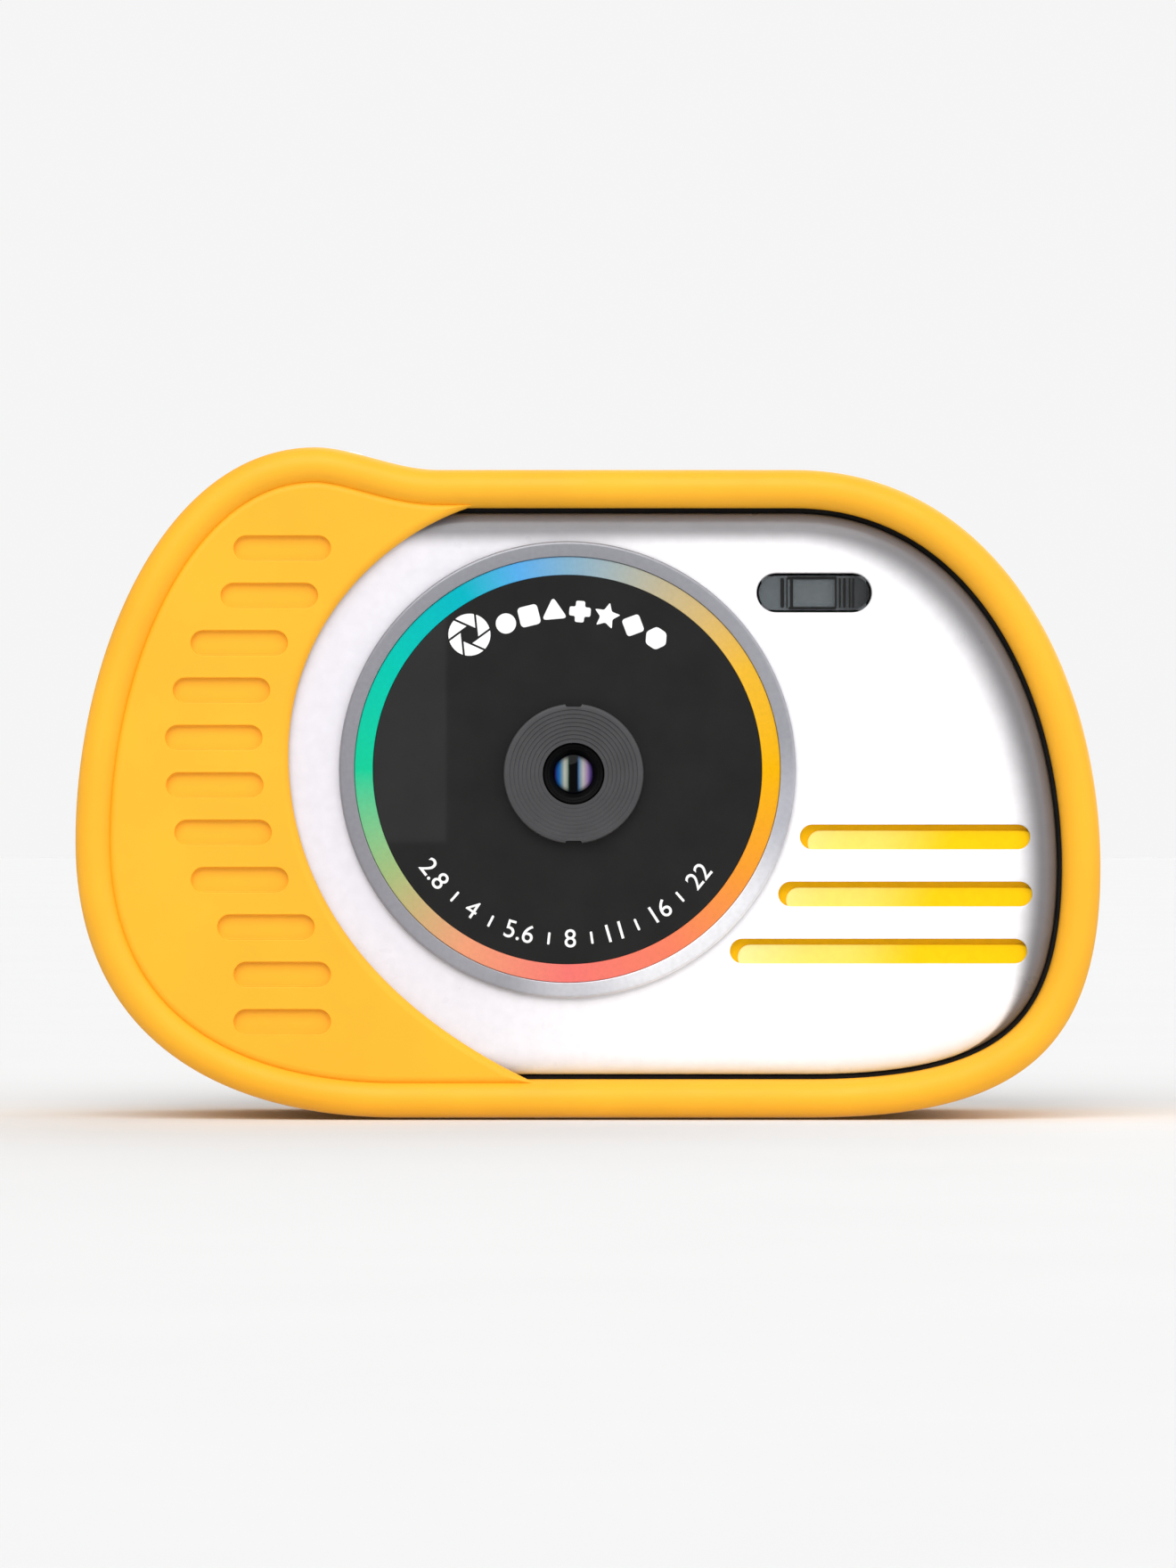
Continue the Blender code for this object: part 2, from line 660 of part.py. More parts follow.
def front_housing():
    housing = flat("front_housing", case_points(HOUSING_INSET), HOUSING_FRONT, HOUSING_RIM)
    cut(housing, flat("inside", case_points(HOUSING_INSET + HOUSING_WALL),
                      FRONT_WALL_INSIDE, HOUSING_RIM + 1))
    cut(housing, flat("pocket", case_points(BLACK_EDGE_INSET), HOUSING_FRONT - 1, POCKET_FLOOR))
    join(housing, cylinder("ring_seat", RING_SEAT_RADIUS, (RING_X, RING_SEAT_FACE, RING_Z),
                           (RING_X, POCKET_FLOOR + 0.2, RING_Z), 48))
    for x, z in SCREWS:
        join(housing, boss_tool(x, z, FRONT_WALL_INSIDE - OVERLAP, HOUSING_RIM))
        cut(housing, cylinder("hole", SCREW_HOLE, (x, -5.0, z), (x, HOUSING_RIM + 1, z), 12))
    for side in (-1, 1):
        x = LENS_X + SENSOR_SCREW_REACH * side
        join(housing, cylinder("post", 1.9, (x, FRONT_WALL_INSIDE - OVERLAP, LENS_Z),
                               (x, -3.2, LENS_Z), 16))
        cut(housing, cylinder("hole", SENSOR_SCREW_HOLE, (x, -9.0, LENS_Z), (x, 0.0, LENS_Z), 12))
    cut(housing, cylinder("lens_hole", LENS_HOLE, (LENS_X, -18, LENS_Z), (LENS_X, -9, LENS_Z), 32))
    window = rounded_box_points(FLASH_X, FLASH_Z, 10.8, 3.9, 0.6)
    cut(housing, flat("flash_hole", window, -18, -9))
    add_button_wells(housing)
    add_port(housing)
    return finish(housing, BLACK, 0.45)


def housing_gasket():
    gasket = flat("housing_gasket", case_points(GASKET_INSET), HOUSING_RIM + GAP,
                  COVER_RIM - GAP, hole=case_points(GASKET_INSET + GASKET_WIDTH))
    return finish(gasket, (0.35, 0.35, 0.36), 0.7)


def back_cover():
    cover = flat("back_cover", case_points(HOUSING_INSET), COVER_RIM, COVER_SHOULDER)
    crown = flat("crown", case_points(COVER_CROWN_INSET), COVER_SHOULDER - OVERLAP, COVER_FACE)
    round_edges_at(crown, "Y", COVER_FACE, CROWN_ROUNDING)
    join(cover, crown)
    cut(cover, flat("inside", case_points(HOUSING_INSET + HOUSING_WALL), COVER_RIM - 1,
                    COVER_SHOULDER_INSIDE))
    cut(cover, flat("inside", case_points(COVER_CROWN_INSET + HOUSING_WALL), COVER_RIM,
                    COVER_INSIDE))
    for x, z in SCREWS:
        join(cover, boss_tool(x, z, HOUSING_RIM + GAP, COVER_INSIDE + OVERLAP))
        cut(cover, cylinder("hole", SCREW_HOLE, (x, 0.0, z), (x, 14.0, z), 12))
        cut(cover, cylinder("counterbore", COUNTERBORE_RADIUS, (x, 13.0, z), (x, 17.0, z), 20))
    recess = rounded_box_points(SCREEN_X, SCREEN_Z, WINDOW_WIDTH + 0.6, WINDOW_HEIGHT + 0.6, 3.3)
    cut(cover, flat("recess", recess, SCREEN_RECESS_FLOOR, 18.0))
    view = rounded_box_points(SCREEN_X, SCREEN_Z, VIEW_WIDTH, VIEW_HEIGHT, 1.0)
    cut(cover, flat("view", view, 10.0, 18.0))
    for _, x, z, radius in KEYS:
        cut(cover, cylinder("key_hole", radius + GAP, (x, 10.0, z), (x, 18.0, z), 16))
    for index in range(5):
        x = SPEAKER_X + 2.2 * (index - 2)
        cut(cover, cylinder("sound_hole", 0.6, (x, 10.0, SPEAKER_Z), (x, 18.0, SPEAKER_Z), 10))
    cut(cover, cylinder("sound_hole", 0.5, (MICROPHONE_X, 10.0, MICROPHONE_Z),
                        (MICROPHONE_X, 18.0, MICROPHONE_Z), 10))
    cut(cover, cylinder("light_hole", 1.1, (STATUS_X, 10.0, STATUS_Z),
                        (STATUS_X, 18.0, STATUS_Z), 12))
    return finish(cover, WHITE, 0.35)


# ---------------------------------------------------------------- lens and flash

def lens_bezel():
    bezel = turned_front("lens_bezel", [
        (BEZEL_INSIDE, BEZEL_FACE), (BEZEL_RADIUS - 0.25, BEZEL_FACE), (BEZEL_RADIUS, BEZEL_FACE + 0.15),
        (BEZEL_RADIUS, PLATE_FACE - GAP + 0.1), (BEZEL_RADIUS - 0.6, PLATE_FACE - GAP + 0.1),
        (BEZEL_RADIUS - 0.6, PLATE_BACK), (20.6, PLATE_BACK)], RING_X, RING_Z, 44, closed=True)
    return finish(bezel, SILVER, 0.3, 1.0)


def colour_ring():
    ring = turned_front("colour_ring", [
        (DISC_RADIUS + 0.1, DISC_FACE), (COLOUR_RING_RADIUS - 0.1, DISC_FACE),
        (COLOUR_RING_RADIUS - 0.1, DISC_BACK), (DISC_RADIUS + 0.1, DISC_BACK)],
        RING_X, RING_Z, 44, closed=True)
    return finish(ring, (0.2, 0.6, 0.8), 0.35)


def lens_disc():
    disc = turned_front("lens_disc", [
        (0.0, DISC_FACE), (DISC_RADIUS, DISC_FACE), (DISC_RADIUS, DISC_BACK),
        (0.0, DISC_BACK)], RING_X, RING_Z, 44)
    cut(disc, cylinder("opening", DISC_OPENING, (LENS_X, -18, LENS_Z), (LENS_X, -10, LENS_Z), 32))
    return finish(disc, BLACK, 0.12)


def lens_hood():
    flange_back = DISC_FACE - GAP
    steps = 3
    outer, inner = HOOD_RADIUS - 0.7, HOOD_MOUTH
    rise = 0.8
    cone = []
    for step in range(steps):
        radius = inner + (outer - inner) * step / steps
        depth = HOOD_FACE + rise * (1 - step / steps)
        cone += [(radius, depth), (radius + (outer - inner) / steps, depth)]
    profile = cone + [(outer, HOOD_FACE), (HOOD_RADIUS - 0.15, HOOD_FACE),
                      (HOOD_RADIUS, HOOD_FACE + 0.15), (HOOD_RADIUS, flange_back),
                      (HOOD_SLEEVE, flange_back), (HOOD_SLEEVE, HOOD_END),
                      (BARREL_RADIUS + GAP, HOOD_END), (BARREL_RADIUS + GAP, -14.3),
                      (inner, -14.3)]
    hood = turned_front("lens_hood", profile, LENS_X, LENS_Z, 32, closed=True)
    for side in (-1, 1):
        z = LENS_Z + side * HOOD_RADIUS
        cut(hood, box("notch", (LENS_X - 0.9, LENS_X + 0.9), (HOOD_FACE - 1, HOOD_FACE + 0.35),
                      (z - 0.55, z + 0.55)))
    return finish(hood, GREY, 0.5)


def lens_barrel():
    barrel = turned_front("lens_barrel", [
        (BARREL_LIP - 0.2, -14.5), (BARREL_LIP, -14.5), (BARREL_LIP, -14.0),
        (BARREL_RADIUS, -14.0), (BARREL_RADIUS, -4.6), (3.1, -4.6), (3.1, -12.0), (1.6, -12.0),
        (1.6, -12.3), (2.2, -12.5), (2.2, -13.7)],
        LENS_X, LENS_Z, 24, closed=True)
    return finish(barrel, BLACK, 0.4)


def lens_profile(radius, front, back, bulge):
    """Returns the profile of a lens with two bulging faces."""
    steps = 3
    front_side = [(radius * step / steps, front + bulge * (step / steps) ** 2)
                  for step in range(steps + 1)]
    back_side = [(radius * step / steps, back - bulge * (step / steps) ** 2)
                 for step in range(steps, -1, -1)]
    return front_side + back_side


def lenses():
    front = turned_front("front_lens", lens_profile(1.95, -13.8, -12.75, 0.35), LENS_X, LENS_Z, 20)
    finish(front, (0.10, 0.12, 0.30), 0.05)
    inner = turned_front("inner_lens", lens_profile(2.8, -9.6, -7.8, 0.4), LENS_X, LENS_Z, 16)
    finish(inner, (0.75, 0.80, 0.85), 0.05)


def sensor_parts():
    holder = box("lens_holder", (LENS_X - 6.2, LENS_X + 6.2), (-8.6, -3.2),
                 (LENS_Z - 6.2, LENS_Z + 6.2), 0.4)
    cut(holder, cylinder("bore", 4.5, (LENS_X, -12.0, LENS_Z), (LENS_X, 0.0, LENS_Z), 24))
    finish(holder, BLACK, 0.5)
    board = box("sensor_board", (LENS_X - 12.0, LENS_X + 12.0), (-2.9, -1.9),
                (LENS_Z - 7.0, LENS_Z + 7.0))
    for side in (-1, 1):
        x = LENS_X + SENSOR_SCREW_REACH * side
        cut(board, cylinder("hole", SENSOR_SCREW_HOLE, (x, -4.0, LENS_Z), (x, 0.0, LENS_Z), 12))
    finish(board, BOARD_GREEN, 0.5)
    finish(box("image_sensor", (LENS_X - 2.6, LENS_X + 2.6), (-4.0, -3.2),
               (LENS_Z - 2.2, LENS_Z + 2.2)), GREY, 0.3)
    for index, side in enumerate((-1, 1), 1):
        x = LENS_X + SENSOR_SCREW_REACH * side
        screw = turned_back(f"sensor_screw_{index}", [
            (0.0, -0.6), (1.1, -0.6), (1.5, -0.9), (1.5, -1.6), (0.8, -1.6), (0.8, -8.0),
            (0.0, -8.4)], x, LENS_Z, 12)
        finish(screw, STEEL, 0.3, 1.0)


def flash_parts():
    window = flat("flash_window", rounded_box_points(
        FLASH_X, FLASH_Z, FLASH_WIDTH - 0.4, FLASH_HEIGHT - 0.4, FLASH_HEIGHT / 2 - 0.2, 6),
        -13.7, -12.6)
    finish(window, (0.55, 0.60, 0.65), 0.08)
    reflector = box("flash_reflector", (FLASH_X - 5.1, FLASH_X + 5.1), (-12.3, -9.6),
                    (FLASH_Z - 1.65, FLASH_Z + 1.65))
    cut(reflector, box("trough", (FLASH_X - 4.6, FLASH_X + 4.6), (-13.0, -10.4),
                       (FLASH_Z - 1.25, FLASH_Z + 1.25)))
    finish(reflector, (0.35, 0.37, 0.40), 0.25, 0.8)
    finish(box("flash_led", (FLASH_X - 1.8, FLASH_X + 1.8), (-11.3, -10.6),
               (FLASH_Z - 0.9, FLASH_Z + 0.9)), (0.9, 0.85, 0.4), 0.4)


# ---------------------------------------------------------------- controls

def dome_profile(radius, top, drop, rounding):
    """Returns the outer half of a domed cap, from its axis out."""
    return [(0.0, top), (radius - rounding, top - drop),
            (radius - rounding * 0.3, top - drop - rounding * 0.3),
            (radius, top - drop - rounding)]


def top_buttons():
    profile = dome_profile(SHUTTER_RADIUS, SHUTTER_TOP, 0.4, 0.5) + [
        (SHUTTER_RADIUS, SHUTTER_UNDERSIDE), (1.5, SHUTTER_UNDERSIDE),
        (1.5, SHUTTER_STEM_END), (0.0, SHUTTER_STEM_END)]
    shutter = turned("shutter_button", profile, (SHUTTER_X, BUTTON_Y, 0), (0, 0, 0), 24)
    finish(shutter, WHITE, 0.3)

    outline = rounded_box_points(0, 0, POWER_WIDTH, POWER_DEPTH, POWER_DEPTH / 2, 5)
    power = upright("power_button", outline, POWER_X, BUTTON_Y, POWER_UNDERSIDE, POWER_TOP)
    round_edges_at(power, "Z", POWER_TOP, POWER_ROUNDING)
    join(power, cylinder("stem", 1.1, (POWER_X, BUTTON_Y, POWER_STEM_END),
                         (POWER_X, BUTTON_Y, POWER_UNDERSIDE + OVERLAP), 16))
    finish(power, WHITE, 0.3)

    finish(box("top_board", (-31.0, 7.0), (-7.0, 0.0), (TOP_BOARD_TOP - 1.2, TOP_BOARD_TOP)),
           BOARD_GREEN, 0.5)
    for name, x, top in (("shutter_switch", SHUTTER_X, SHUTTER_STEM_END - 1.1),
                         ("power_switch", POWER_X, POWER_STEM_END - 1.0)):
        switch = box(name, (x - 3.0, x + 3.0), (BUTTON_Y - 3.0, BUTTON_Y + 3.0),
                     (TOP_BOARD_TOP + GAP, top - 0.5))
        join(switch, cylinder("plunger", 1.6, (x, BUTTON_Y, top - 0.8), (x, BUTTON_Y, top), 16))
        finish(switch, (0.15, 0.15, 0.16), 0.5)


def rear_keys():
    for name, x, z, radius in KEYS:
        profile = dome_profile(radius, KEY_FACE, 0.15, 0.35) + [
            (radius, KEY_FLANGE_BACK), (radius + KEY_FLANGE, KEY_FLANGE_BACK),
            (radius + KEY_FLANGE, KEY_FLANGE_FRONT), (0.0, KEY_FLANGE_FRONT)]
        finish(turned_back(name, profile, x, z, 16), YELLOW, 0.45)
    membrane = flat("keypad_membrane", rounded_box_points(PAD_X, 36.0, 23.0, 28.0, 3.0),
                    10.0, 10.8)
    screw_x, screw_z = SCREWS[0]
    cut(membrane, cylinder("clearance", BOSS_RADIUS + 0.4, (screw_x, 8.0, screw_z),
                           (screw_x, 13.0, screw_z), 20))
    finish(membrane, (0.3, 0.3, 0.32), 0.7)


# ---------------------------------------------------------------- side door

def port_door():
    door = flat("port_door", wall_band_points(DOOR_OUTSIDE, DOOR_INSIDE, DOOR_BOTTOM, DOOR_TOP),
                DOOR_FRONT, DOOR_BACK)
    knuckle_front, knuckle_back = DOOR_FRONT + 1.3, DOOR_BACK - 1.3
    arm = [Vector((HINGE_X - 0.9, HINGE_Z)), Vector((HINGE_X + 0.9, HINGE_Z)),
           Vector((HINGE_X + 1.45, DOOR_BOTTOM + 0.8)), Vector((HINGE_X + 0.3, DOOR_BOTTOM + 0.8))]
    join(door, flat("arm", arm, knuckle_front, knuckle_back))
    join(door, cylinder("knuckle", KNUCKLE_RADIUS, (HINGE_X, knuckle_front, HINGE_Z),
                        (HINGE_X, knuckle_back, HINGE_Z), 20))
    cut(door, cylinder("pin_hole", PIN_HOLE, (HINGE_X, DOOR_FRONT - 2, HINGE_Z),
                       (HINGE_X, DOOR_BACK + 2, HINGE_Z), 16))
    move_origin(door, (HINGE_X, 0, HINGE_Z))
    finish(door, YELLOW, 0.5)

    seal = flat("door_seal", wall_band_points(DOOR_INSIDE + GAP, 3.4, PORT_BOTTOM + GAP,
                                              PORT_TOP - 0.5), PORT_FRONT + GAP, PORT_BACK - GAP)
    cut(seal, box("hollow", (40, 52), (PORT_FRONT + GAP + 0.8, PORT_BACK - GAP - 0.8),
                  (PORT_BOTTOM + GAP + 0.8, PORT_TOP - 0.5 - 0.8)))
    move_origin(seal, (HINGE_X, 0, HINGE_Z))
    finish(seal, (0.3, 0.3, 0.32), 0.7)

    pin = cylinder("door_hinge_pin", PIN_RADIUS, (HINGE_X, DOOR_FRONT, HINGE_Z),
                   (HINGE_X, DOOR_BACK, HINGE_Z), 12)
    finish(pin, STEEL, 0.3, 1.0)


def move_origin(part, place):
    """Moves an object's origin without moving its mesh."""
    target = Matrix.Translation(Vector(place) * MM)
    part.data.transform(target.inverted() @ part.matrix_world)
    part.matrix_world = target
    bpy.context.view_layer.update()


def sockets():
    finish(box("port_board", (27.0, 43.5), (-1.9, -0.7), (13.2, 37.0)), BOARD_GREEN, 0.5)
    usb = box("usb_socket", (37.6, 45.0), (-5.4, -2.2), (26.4, 35.4), 0.3)
    mouth = rounded_box_points(-3.8, 30.9, 2.5, 8.3, 1.2)
    cut(usb, sideways("mouth", mouth, 39.0, 47.0))
    join(usb, box("tongue", (38.5, 44.4), (-4.15, -3.45), (27.7, 34.1)))
    finish(usb, STEEL, 0.3, 1.0)
    card_socket = box("card_socket", (29.4, 43.9), (-4.7, -2.2), (13.4, 25.8))
    cut(card_socket, box("slot", (30.6, 46.0), (-4.35, -2.75), (13.8, 25.4)))
    finish(card_socket, STEEL, 0.35, 1.0)
    finish(box("memory_card", (31.0, 45.1), (-4.05, -3.05), (14.1, 25.1)), BLACK, 0.5)


# ---------------------------------------------------------------- inside

def main_board():
    board = box("main_board", (-38.0, 31.5), (8.2, 9.7), (14.0, 51.0))
    for x, z in SCREWS:
        cut(board, cylinder("clearance", BOSS_RADIUS + 0.4, (x, 6.0, z), (x, 12.0, z), 20))
    finish(board, BOARD_GREEN, 0.5)
    finish(box("processor_chip", (-6.0, 6.0), (6.7, 7.9), (28.0, 40.0)), BLACK, 0.4)
    finish(box("memory_chip", (10.0, 19.0), (6.9, 7.9), (30.0, 38.0)), BLACK, 0.4)


def inner_parts():
    finish(box("battery", (-40.5, -21.5), (-9.8, -0.8), (15.0, 46.0), 1.0),
           (0.25, 0.40, 0.70), 0.4)
    route = [(-21.2, -5.0, 40.0), (-19.2, -4.6, 40.1), (-17.6, -2.6, 40.6), (-16.8, 0.4, 41.2),
             (-16.4, 3.6, 41.8), (-16.2, 7.8, 42.0)]
    lead, _ = poly_curve("battery_lead", route, "3D")
    lead.bevel_depth = 0.7 * MM
    lead.bevel_resolution = 2
    lead.use_fill_caps = True
    finish(solid_from_curve(add_object("battery_lead", lead)), (0.6, 0.05, 0.05), 0.5)

    lcd = flat("lcd_module", rounded_box_points(SCREEN_X, SCREEN_Z, LCD_WIDTH, LCD_HEIGHT, 0.5, 2),
               10.1, 12.5)
    finish(lcd, GREY, 0.3)
    window = flat("screen_window", rounded_box_points(SCREEN_X, SCREEN_Z, WINDOW_WIDTH,
                                                      WINDOW_HEIGHT, 3.0, 5),
                  SCREEN_RECESS_FLOOR + GAP, SCREEN_GLASS_FACE)
    round_edges_at(window, "Y", SCREEN_GLASS_FACE, SCREEN_GLASS_ROUNDING, 1)
    finish(window, BLACK, 0.05)

    speaker = flat("speaker", rounded_box_points(SPEAKER_X, SPEAKER_Z, 14.0, 6.4, 1.5), 10.0, 12.4)
    finish(speaker, GREY, 0.5)
    finish(cylinder("microphone", 2.0, (MICROPHONE_X, 10.2, MICROPHONE_Z),
                    (MICROPHONE_X, 12.4, MICROPHONE_Z), 20), STEEL, 0.4, 1.0)
    finish(cylinder("status_light", 0.8, (STATUS_X, 10.1, STATUS_Z),
                    (STATUS_X, 14.9, STATUS_Z), 12), (0.2, 0.8, 0.3), 0.2)

    for index, (x, z) in enumerate(SCREWS, 1):
        screw = turned_back(f"back_screw_{index}", [
            (0.0, SCREW_HEAD_TOP), (SCREW_HEAD_RADIUS - 0.4, SCREW_HEAD_TOP),
            (SCREW_HEAD_RADIUS, SCREW_HEAD_TOP - 0.3), (SCREW_HEAD_RADIUS, SCREW_HEAD_SEAT),
            (SCREW_SHANK_RADIUS, SCREW_HEAD_SEAT), (SCREW_SHANK_RADIUS, SCREW_TIP + 0.8),
            (0.0, SCREW_TIP)], x, z, 10)
        for width, height in ((CROSS_LENGTH, CROSS_WIDTH), (CROSS_WIDTH, CROSS_LENGTH)):
            cut(screw, box("slot", (x - width / 2, x + width / 2), (13.8, 15.5),
                           (z - height / 2, z + height / 2)))
        finish(screw, STEEL, 0.3, 1.0)


start_scene()
PARTS = new_collection("kids_digital_camera")
silicone_case()
front_housing()
front_plate()
stripe_insert()
housing_gasket()
back_cover()
lens_bezel()
colour_ring()
lens_disc()
lens_hood()
lens_barrel()
lenses()
sensor_parts()
flash_parts()
top_buttons()
rear_keys()
port_door()
sockets()
main_board()
inner_parts()
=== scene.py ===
"""The looks of a kids' digital camera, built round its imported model.

Lengths are in millimetres, in the camera's own frame: X to the right as one looks at the front,
the front faces -Y and Z is up. The shape functions turn them into metres. Outlines are lists of
two-number vectors. Colours are display values from 0 to 255.
"""

import math

import bmesh
import bpy
from mathutils import Matrix, Vector

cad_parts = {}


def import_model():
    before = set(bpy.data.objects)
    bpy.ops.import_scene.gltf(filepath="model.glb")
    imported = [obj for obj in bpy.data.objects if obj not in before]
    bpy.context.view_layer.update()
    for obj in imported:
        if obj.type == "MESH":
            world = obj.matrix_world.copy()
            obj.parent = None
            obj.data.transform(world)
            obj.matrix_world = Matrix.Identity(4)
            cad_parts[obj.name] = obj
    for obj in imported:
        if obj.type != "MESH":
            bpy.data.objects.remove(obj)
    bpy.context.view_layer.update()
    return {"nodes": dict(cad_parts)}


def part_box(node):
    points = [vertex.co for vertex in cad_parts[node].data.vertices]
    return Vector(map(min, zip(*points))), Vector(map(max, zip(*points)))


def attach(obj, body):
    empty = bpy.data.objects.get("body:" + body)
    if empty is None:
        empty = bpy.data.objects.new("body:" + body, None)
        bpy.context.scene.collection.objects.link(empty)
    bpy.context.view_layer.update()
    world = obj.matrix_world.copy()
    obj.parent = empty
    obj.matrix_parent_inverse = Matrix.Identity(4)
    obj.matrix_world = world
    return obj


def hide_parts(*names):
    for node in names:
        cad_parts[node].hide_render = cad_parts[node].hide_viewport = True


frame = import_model()

MM = 0.001
WELD = 0.0000005
BODY = "camera_body"

# The case, seen from the front, counterclockwise: x, z, heading in degrees, the reach of the
# curve's handles before and after the point, and the number of steps to the next point.
CASE_OUTLINE = (
    (-18.5, 0.0, 0, 15.0, 7.0, 20),
    (21.5, 0.0, 0, 11.0, 20.0, 50),
    (50.0, 24.5, 90, 18.5, 19.0, 60),
    (20.0, 63.3, 180, 20.0, 8.0, 20),
    (-14.5, 63.3, 180, 4.7, 4.2, 24),
    (-26.5, 65.5, 180, 3.6, 15.0, 46),
    (-50.0, 27.0, 270, 18.0, 21.0, 46),
)
# The free edge of the grip panel, from the top down, in the same form.
GRIP_EDGE = (
    (-9.0, 60.2, 193, 0.0, 11.0, 36),
    (-29.1, 35.5, 270, 12.5, 16.0, 44),
    (-3.0, 2.6, -23, 15.5, 0.0, 0),
)

# Distances inward from the case's outline.
CASE_WALL = 2.0
RIM_WIDTH = 3.85
BACK_LIP_WIDTH = 6.0
GRIP_INSET = 3.5
HOUSING_INSET = 2.3
HOUSING_WALL = 1.6
PLATE_INSET = 4.35
COVER_CROWN_INSET = 6.5

# Depths: the face of the grip panel, and the inner sides of the case's two lips.
GRIP_FACE = -15.4
LIP_UNDERSIDE = 12.9

# The slots over the stripes: left and right ends, and height above the ground.
SLOTS = ((20.6, 43.0, 27.45), (18.5, 43.2, 21.9), (13.8, 42.7, 16.35))
SLOT_HEIGHT = 2.4

# The thickness of print, above the surface and below it.
PRINT = 0.03

# The rolled edge of the front plate, and the attribute that paints the rim's shadow grey on the
# plate: fully to the first distance from the rim, and not at all beyond the second, to which
# the third is added at the right. Where the attribute is negative the plate is painted a bluish
# white that cancels the yellow bounce light from the case.
ROLLED_WIDTH = 2.3
PAINTED_EDGE_SHADE = "edge"
EDGE_GREY, EDGE_WHITE, EDGE_WIDER = 1.3, 2.9, 2.1


class Extent:
    """A CAD node's limits at rest, in millimetres."""

    def __init__(self, node):
        low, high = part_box(node)
        self.left, self.front, self.bottom = low / MM
        self.right, self.back, self.top = high / MM
        self.x, self.y, self.z = (low + high) / 2 / MM
        self.width, self.depth, self.height = (high - low) / MM


PLATE, FLASH, STRIPES = map(Extent, ("front_plate", "flash_window", "stripe_insert"))
BEZEL, DISC, HOOD = map(Extent, ("lens_bezel", "lens_disc", "lens_hood"))
BARREL, GLASS = map(Extent, ("lens_barrel", "front_lens"))
COVER, SCREEN, LCD = map(Extent, ("back_cover", "screen_window", "lcd_module"))
SHUTTER, POWER = map(Extent, ("shutter_button", "power_button"))
DOOR, PIN = map(Extent, ("port_door", "door_hinge_pin"))

KEY_NAMES = ("key_ok", "key_up", "key_down", "key_left", "key_right", "key_mode", "key_play")
SCREW_NAMES = ("back_screw_1", "back_screw_2", "back_screw_3", "back_screw_4")


# ---- outlines

def ray(degrees):
    """Returns the unit vector at an angle."""
    return Vector((math.cos(math.radians(degrees)), math.sin(math.radians(degrees))))


def cubic(a, b, c, d, t):
    """Returns a point of the curve from a to d with handles b and c, and its direction."""
    s = 1.0 - t
    point = a * s ** 3 + b * 3 * s * s * t + c * 3 * s * t * t + d * t ** 3
    direction = (b - a) * 3 * s * s + (c - b) * 6 * s * t + (d - c) * 3 * t * t
    return point, direction.normalized()


def curve_points(anchors, inset, closed):
    """Returns points along a chain of curves, moved to the left of the way they run."""
    points = []
    count = len(anchors) if closed else len(anchors) - 1
    for index in range(count):
        x, z, heading, _, reach, steps = anchors[index]
        end_x, end_z, end_heading, end_reach, _, _ = anchors[(index + 1) % len(anchors)]
        start, end = Vector((x, z)), Vector((end_x, end_z))
        handles = start + ray(heading) * reach, end - ray(end_heading) * end_reach
        last = steps + 1 if not closed and index == count - 1 else steps
        for step in range(last):
            point, direction = cubic(start, *handles, end, step / steps)
            points.append(point + Vector((-direction.y, direction.x)) * inset)
    return points


def case_points(inset):
    return curve_points(CASE_OUTLINE, inset, closed=True)


def grip_points(shift):
    """Returns the area left of the grip panel's edge, drawn back by shift."""
    edge = curve_points(GRIP_EDGE, -shift, closed=False)
    beyond = 80.0
    return edge + [Vector((edge[-1].x, -beyond)), Vector((-beyond, -beyond)),
                   Vector((-beyond, beyond)), Vector((edge[0].x, beyond))]


def x_at(points, z):
    """Returns where a chain of points crosses a height."""
    for pair in zip(points, points[1:]):
        low, high = sorted(pair, key=lambda point: point.y)
        if low.y <= z <= high.y and low.y < high.y:
            return low.x + (high.x - low.x) * (z - low.y) / (high.y - low.y)


def wall_band(outer_inset, inner_inset, bottom, top):
    """Returns a strip of the right-hand wall between two heights."""
    def side(inset):
        points = [point for point in case_points(inset) if point.x > 0]
        return ([Vector((x_at(points, bottom), bottom))]
                + [point for point in points if bottom < point.y < top]
                + [Vector((x_at(points, top), top))])
    return side(outer_inset) + side(inner_inset)[::-1]


def circle(x, z, radius, steps=96):
    return [Vector((x, z)) + ray(360 * step / steps) * radius for step in range(steps)]


def rounded_box(x, z, width, height, radius, steps=10):
    """Returns a rectangle with round corners."""
    right, top = width / 2 - radius, height / 2 - radius
    corners = ((right, -top, -90), (right, top, 0), (-right, top, 90), (-right, -top, 180))
    return [Vector((x + corner_x, z + corner_z)) + ray(start + 90 * step / steps) * radius
            for corner_x, corner_z, start in corners for step in range(steps + 1)]


def box_outline(x, z, width, height, radius, steps=10):
    """Returns a rounded box as a function of its inset."""
    return lambda inset: rounded_box(x, z, width - 2 * inset, height - 2 * inset,
                                     radius - inset, steps)


def slot_outline(left, right, z, height=SLOT_HEIGHT):
    return box_outline((left + right) / 2, z, right - left, height, height / 2, 12)


def soft_polygon(corners, radius, steps=5):
    """Rounds the corners of a polygon."""
    points = []
    for index, corner in enumerate(corners):
        before, after = corners[index - 1], corners[(index + 1) % len(corners)]
        start = corner + (before - corner).normalized() * radius
        end = corner + (after - corner).normalized() * radius
        for step in range(steps + 1):
            t = step / steps
            points.append(start * (1 - t) ** 2 + corner * 2 * t * (1 - t) + end * t * t)
    return points


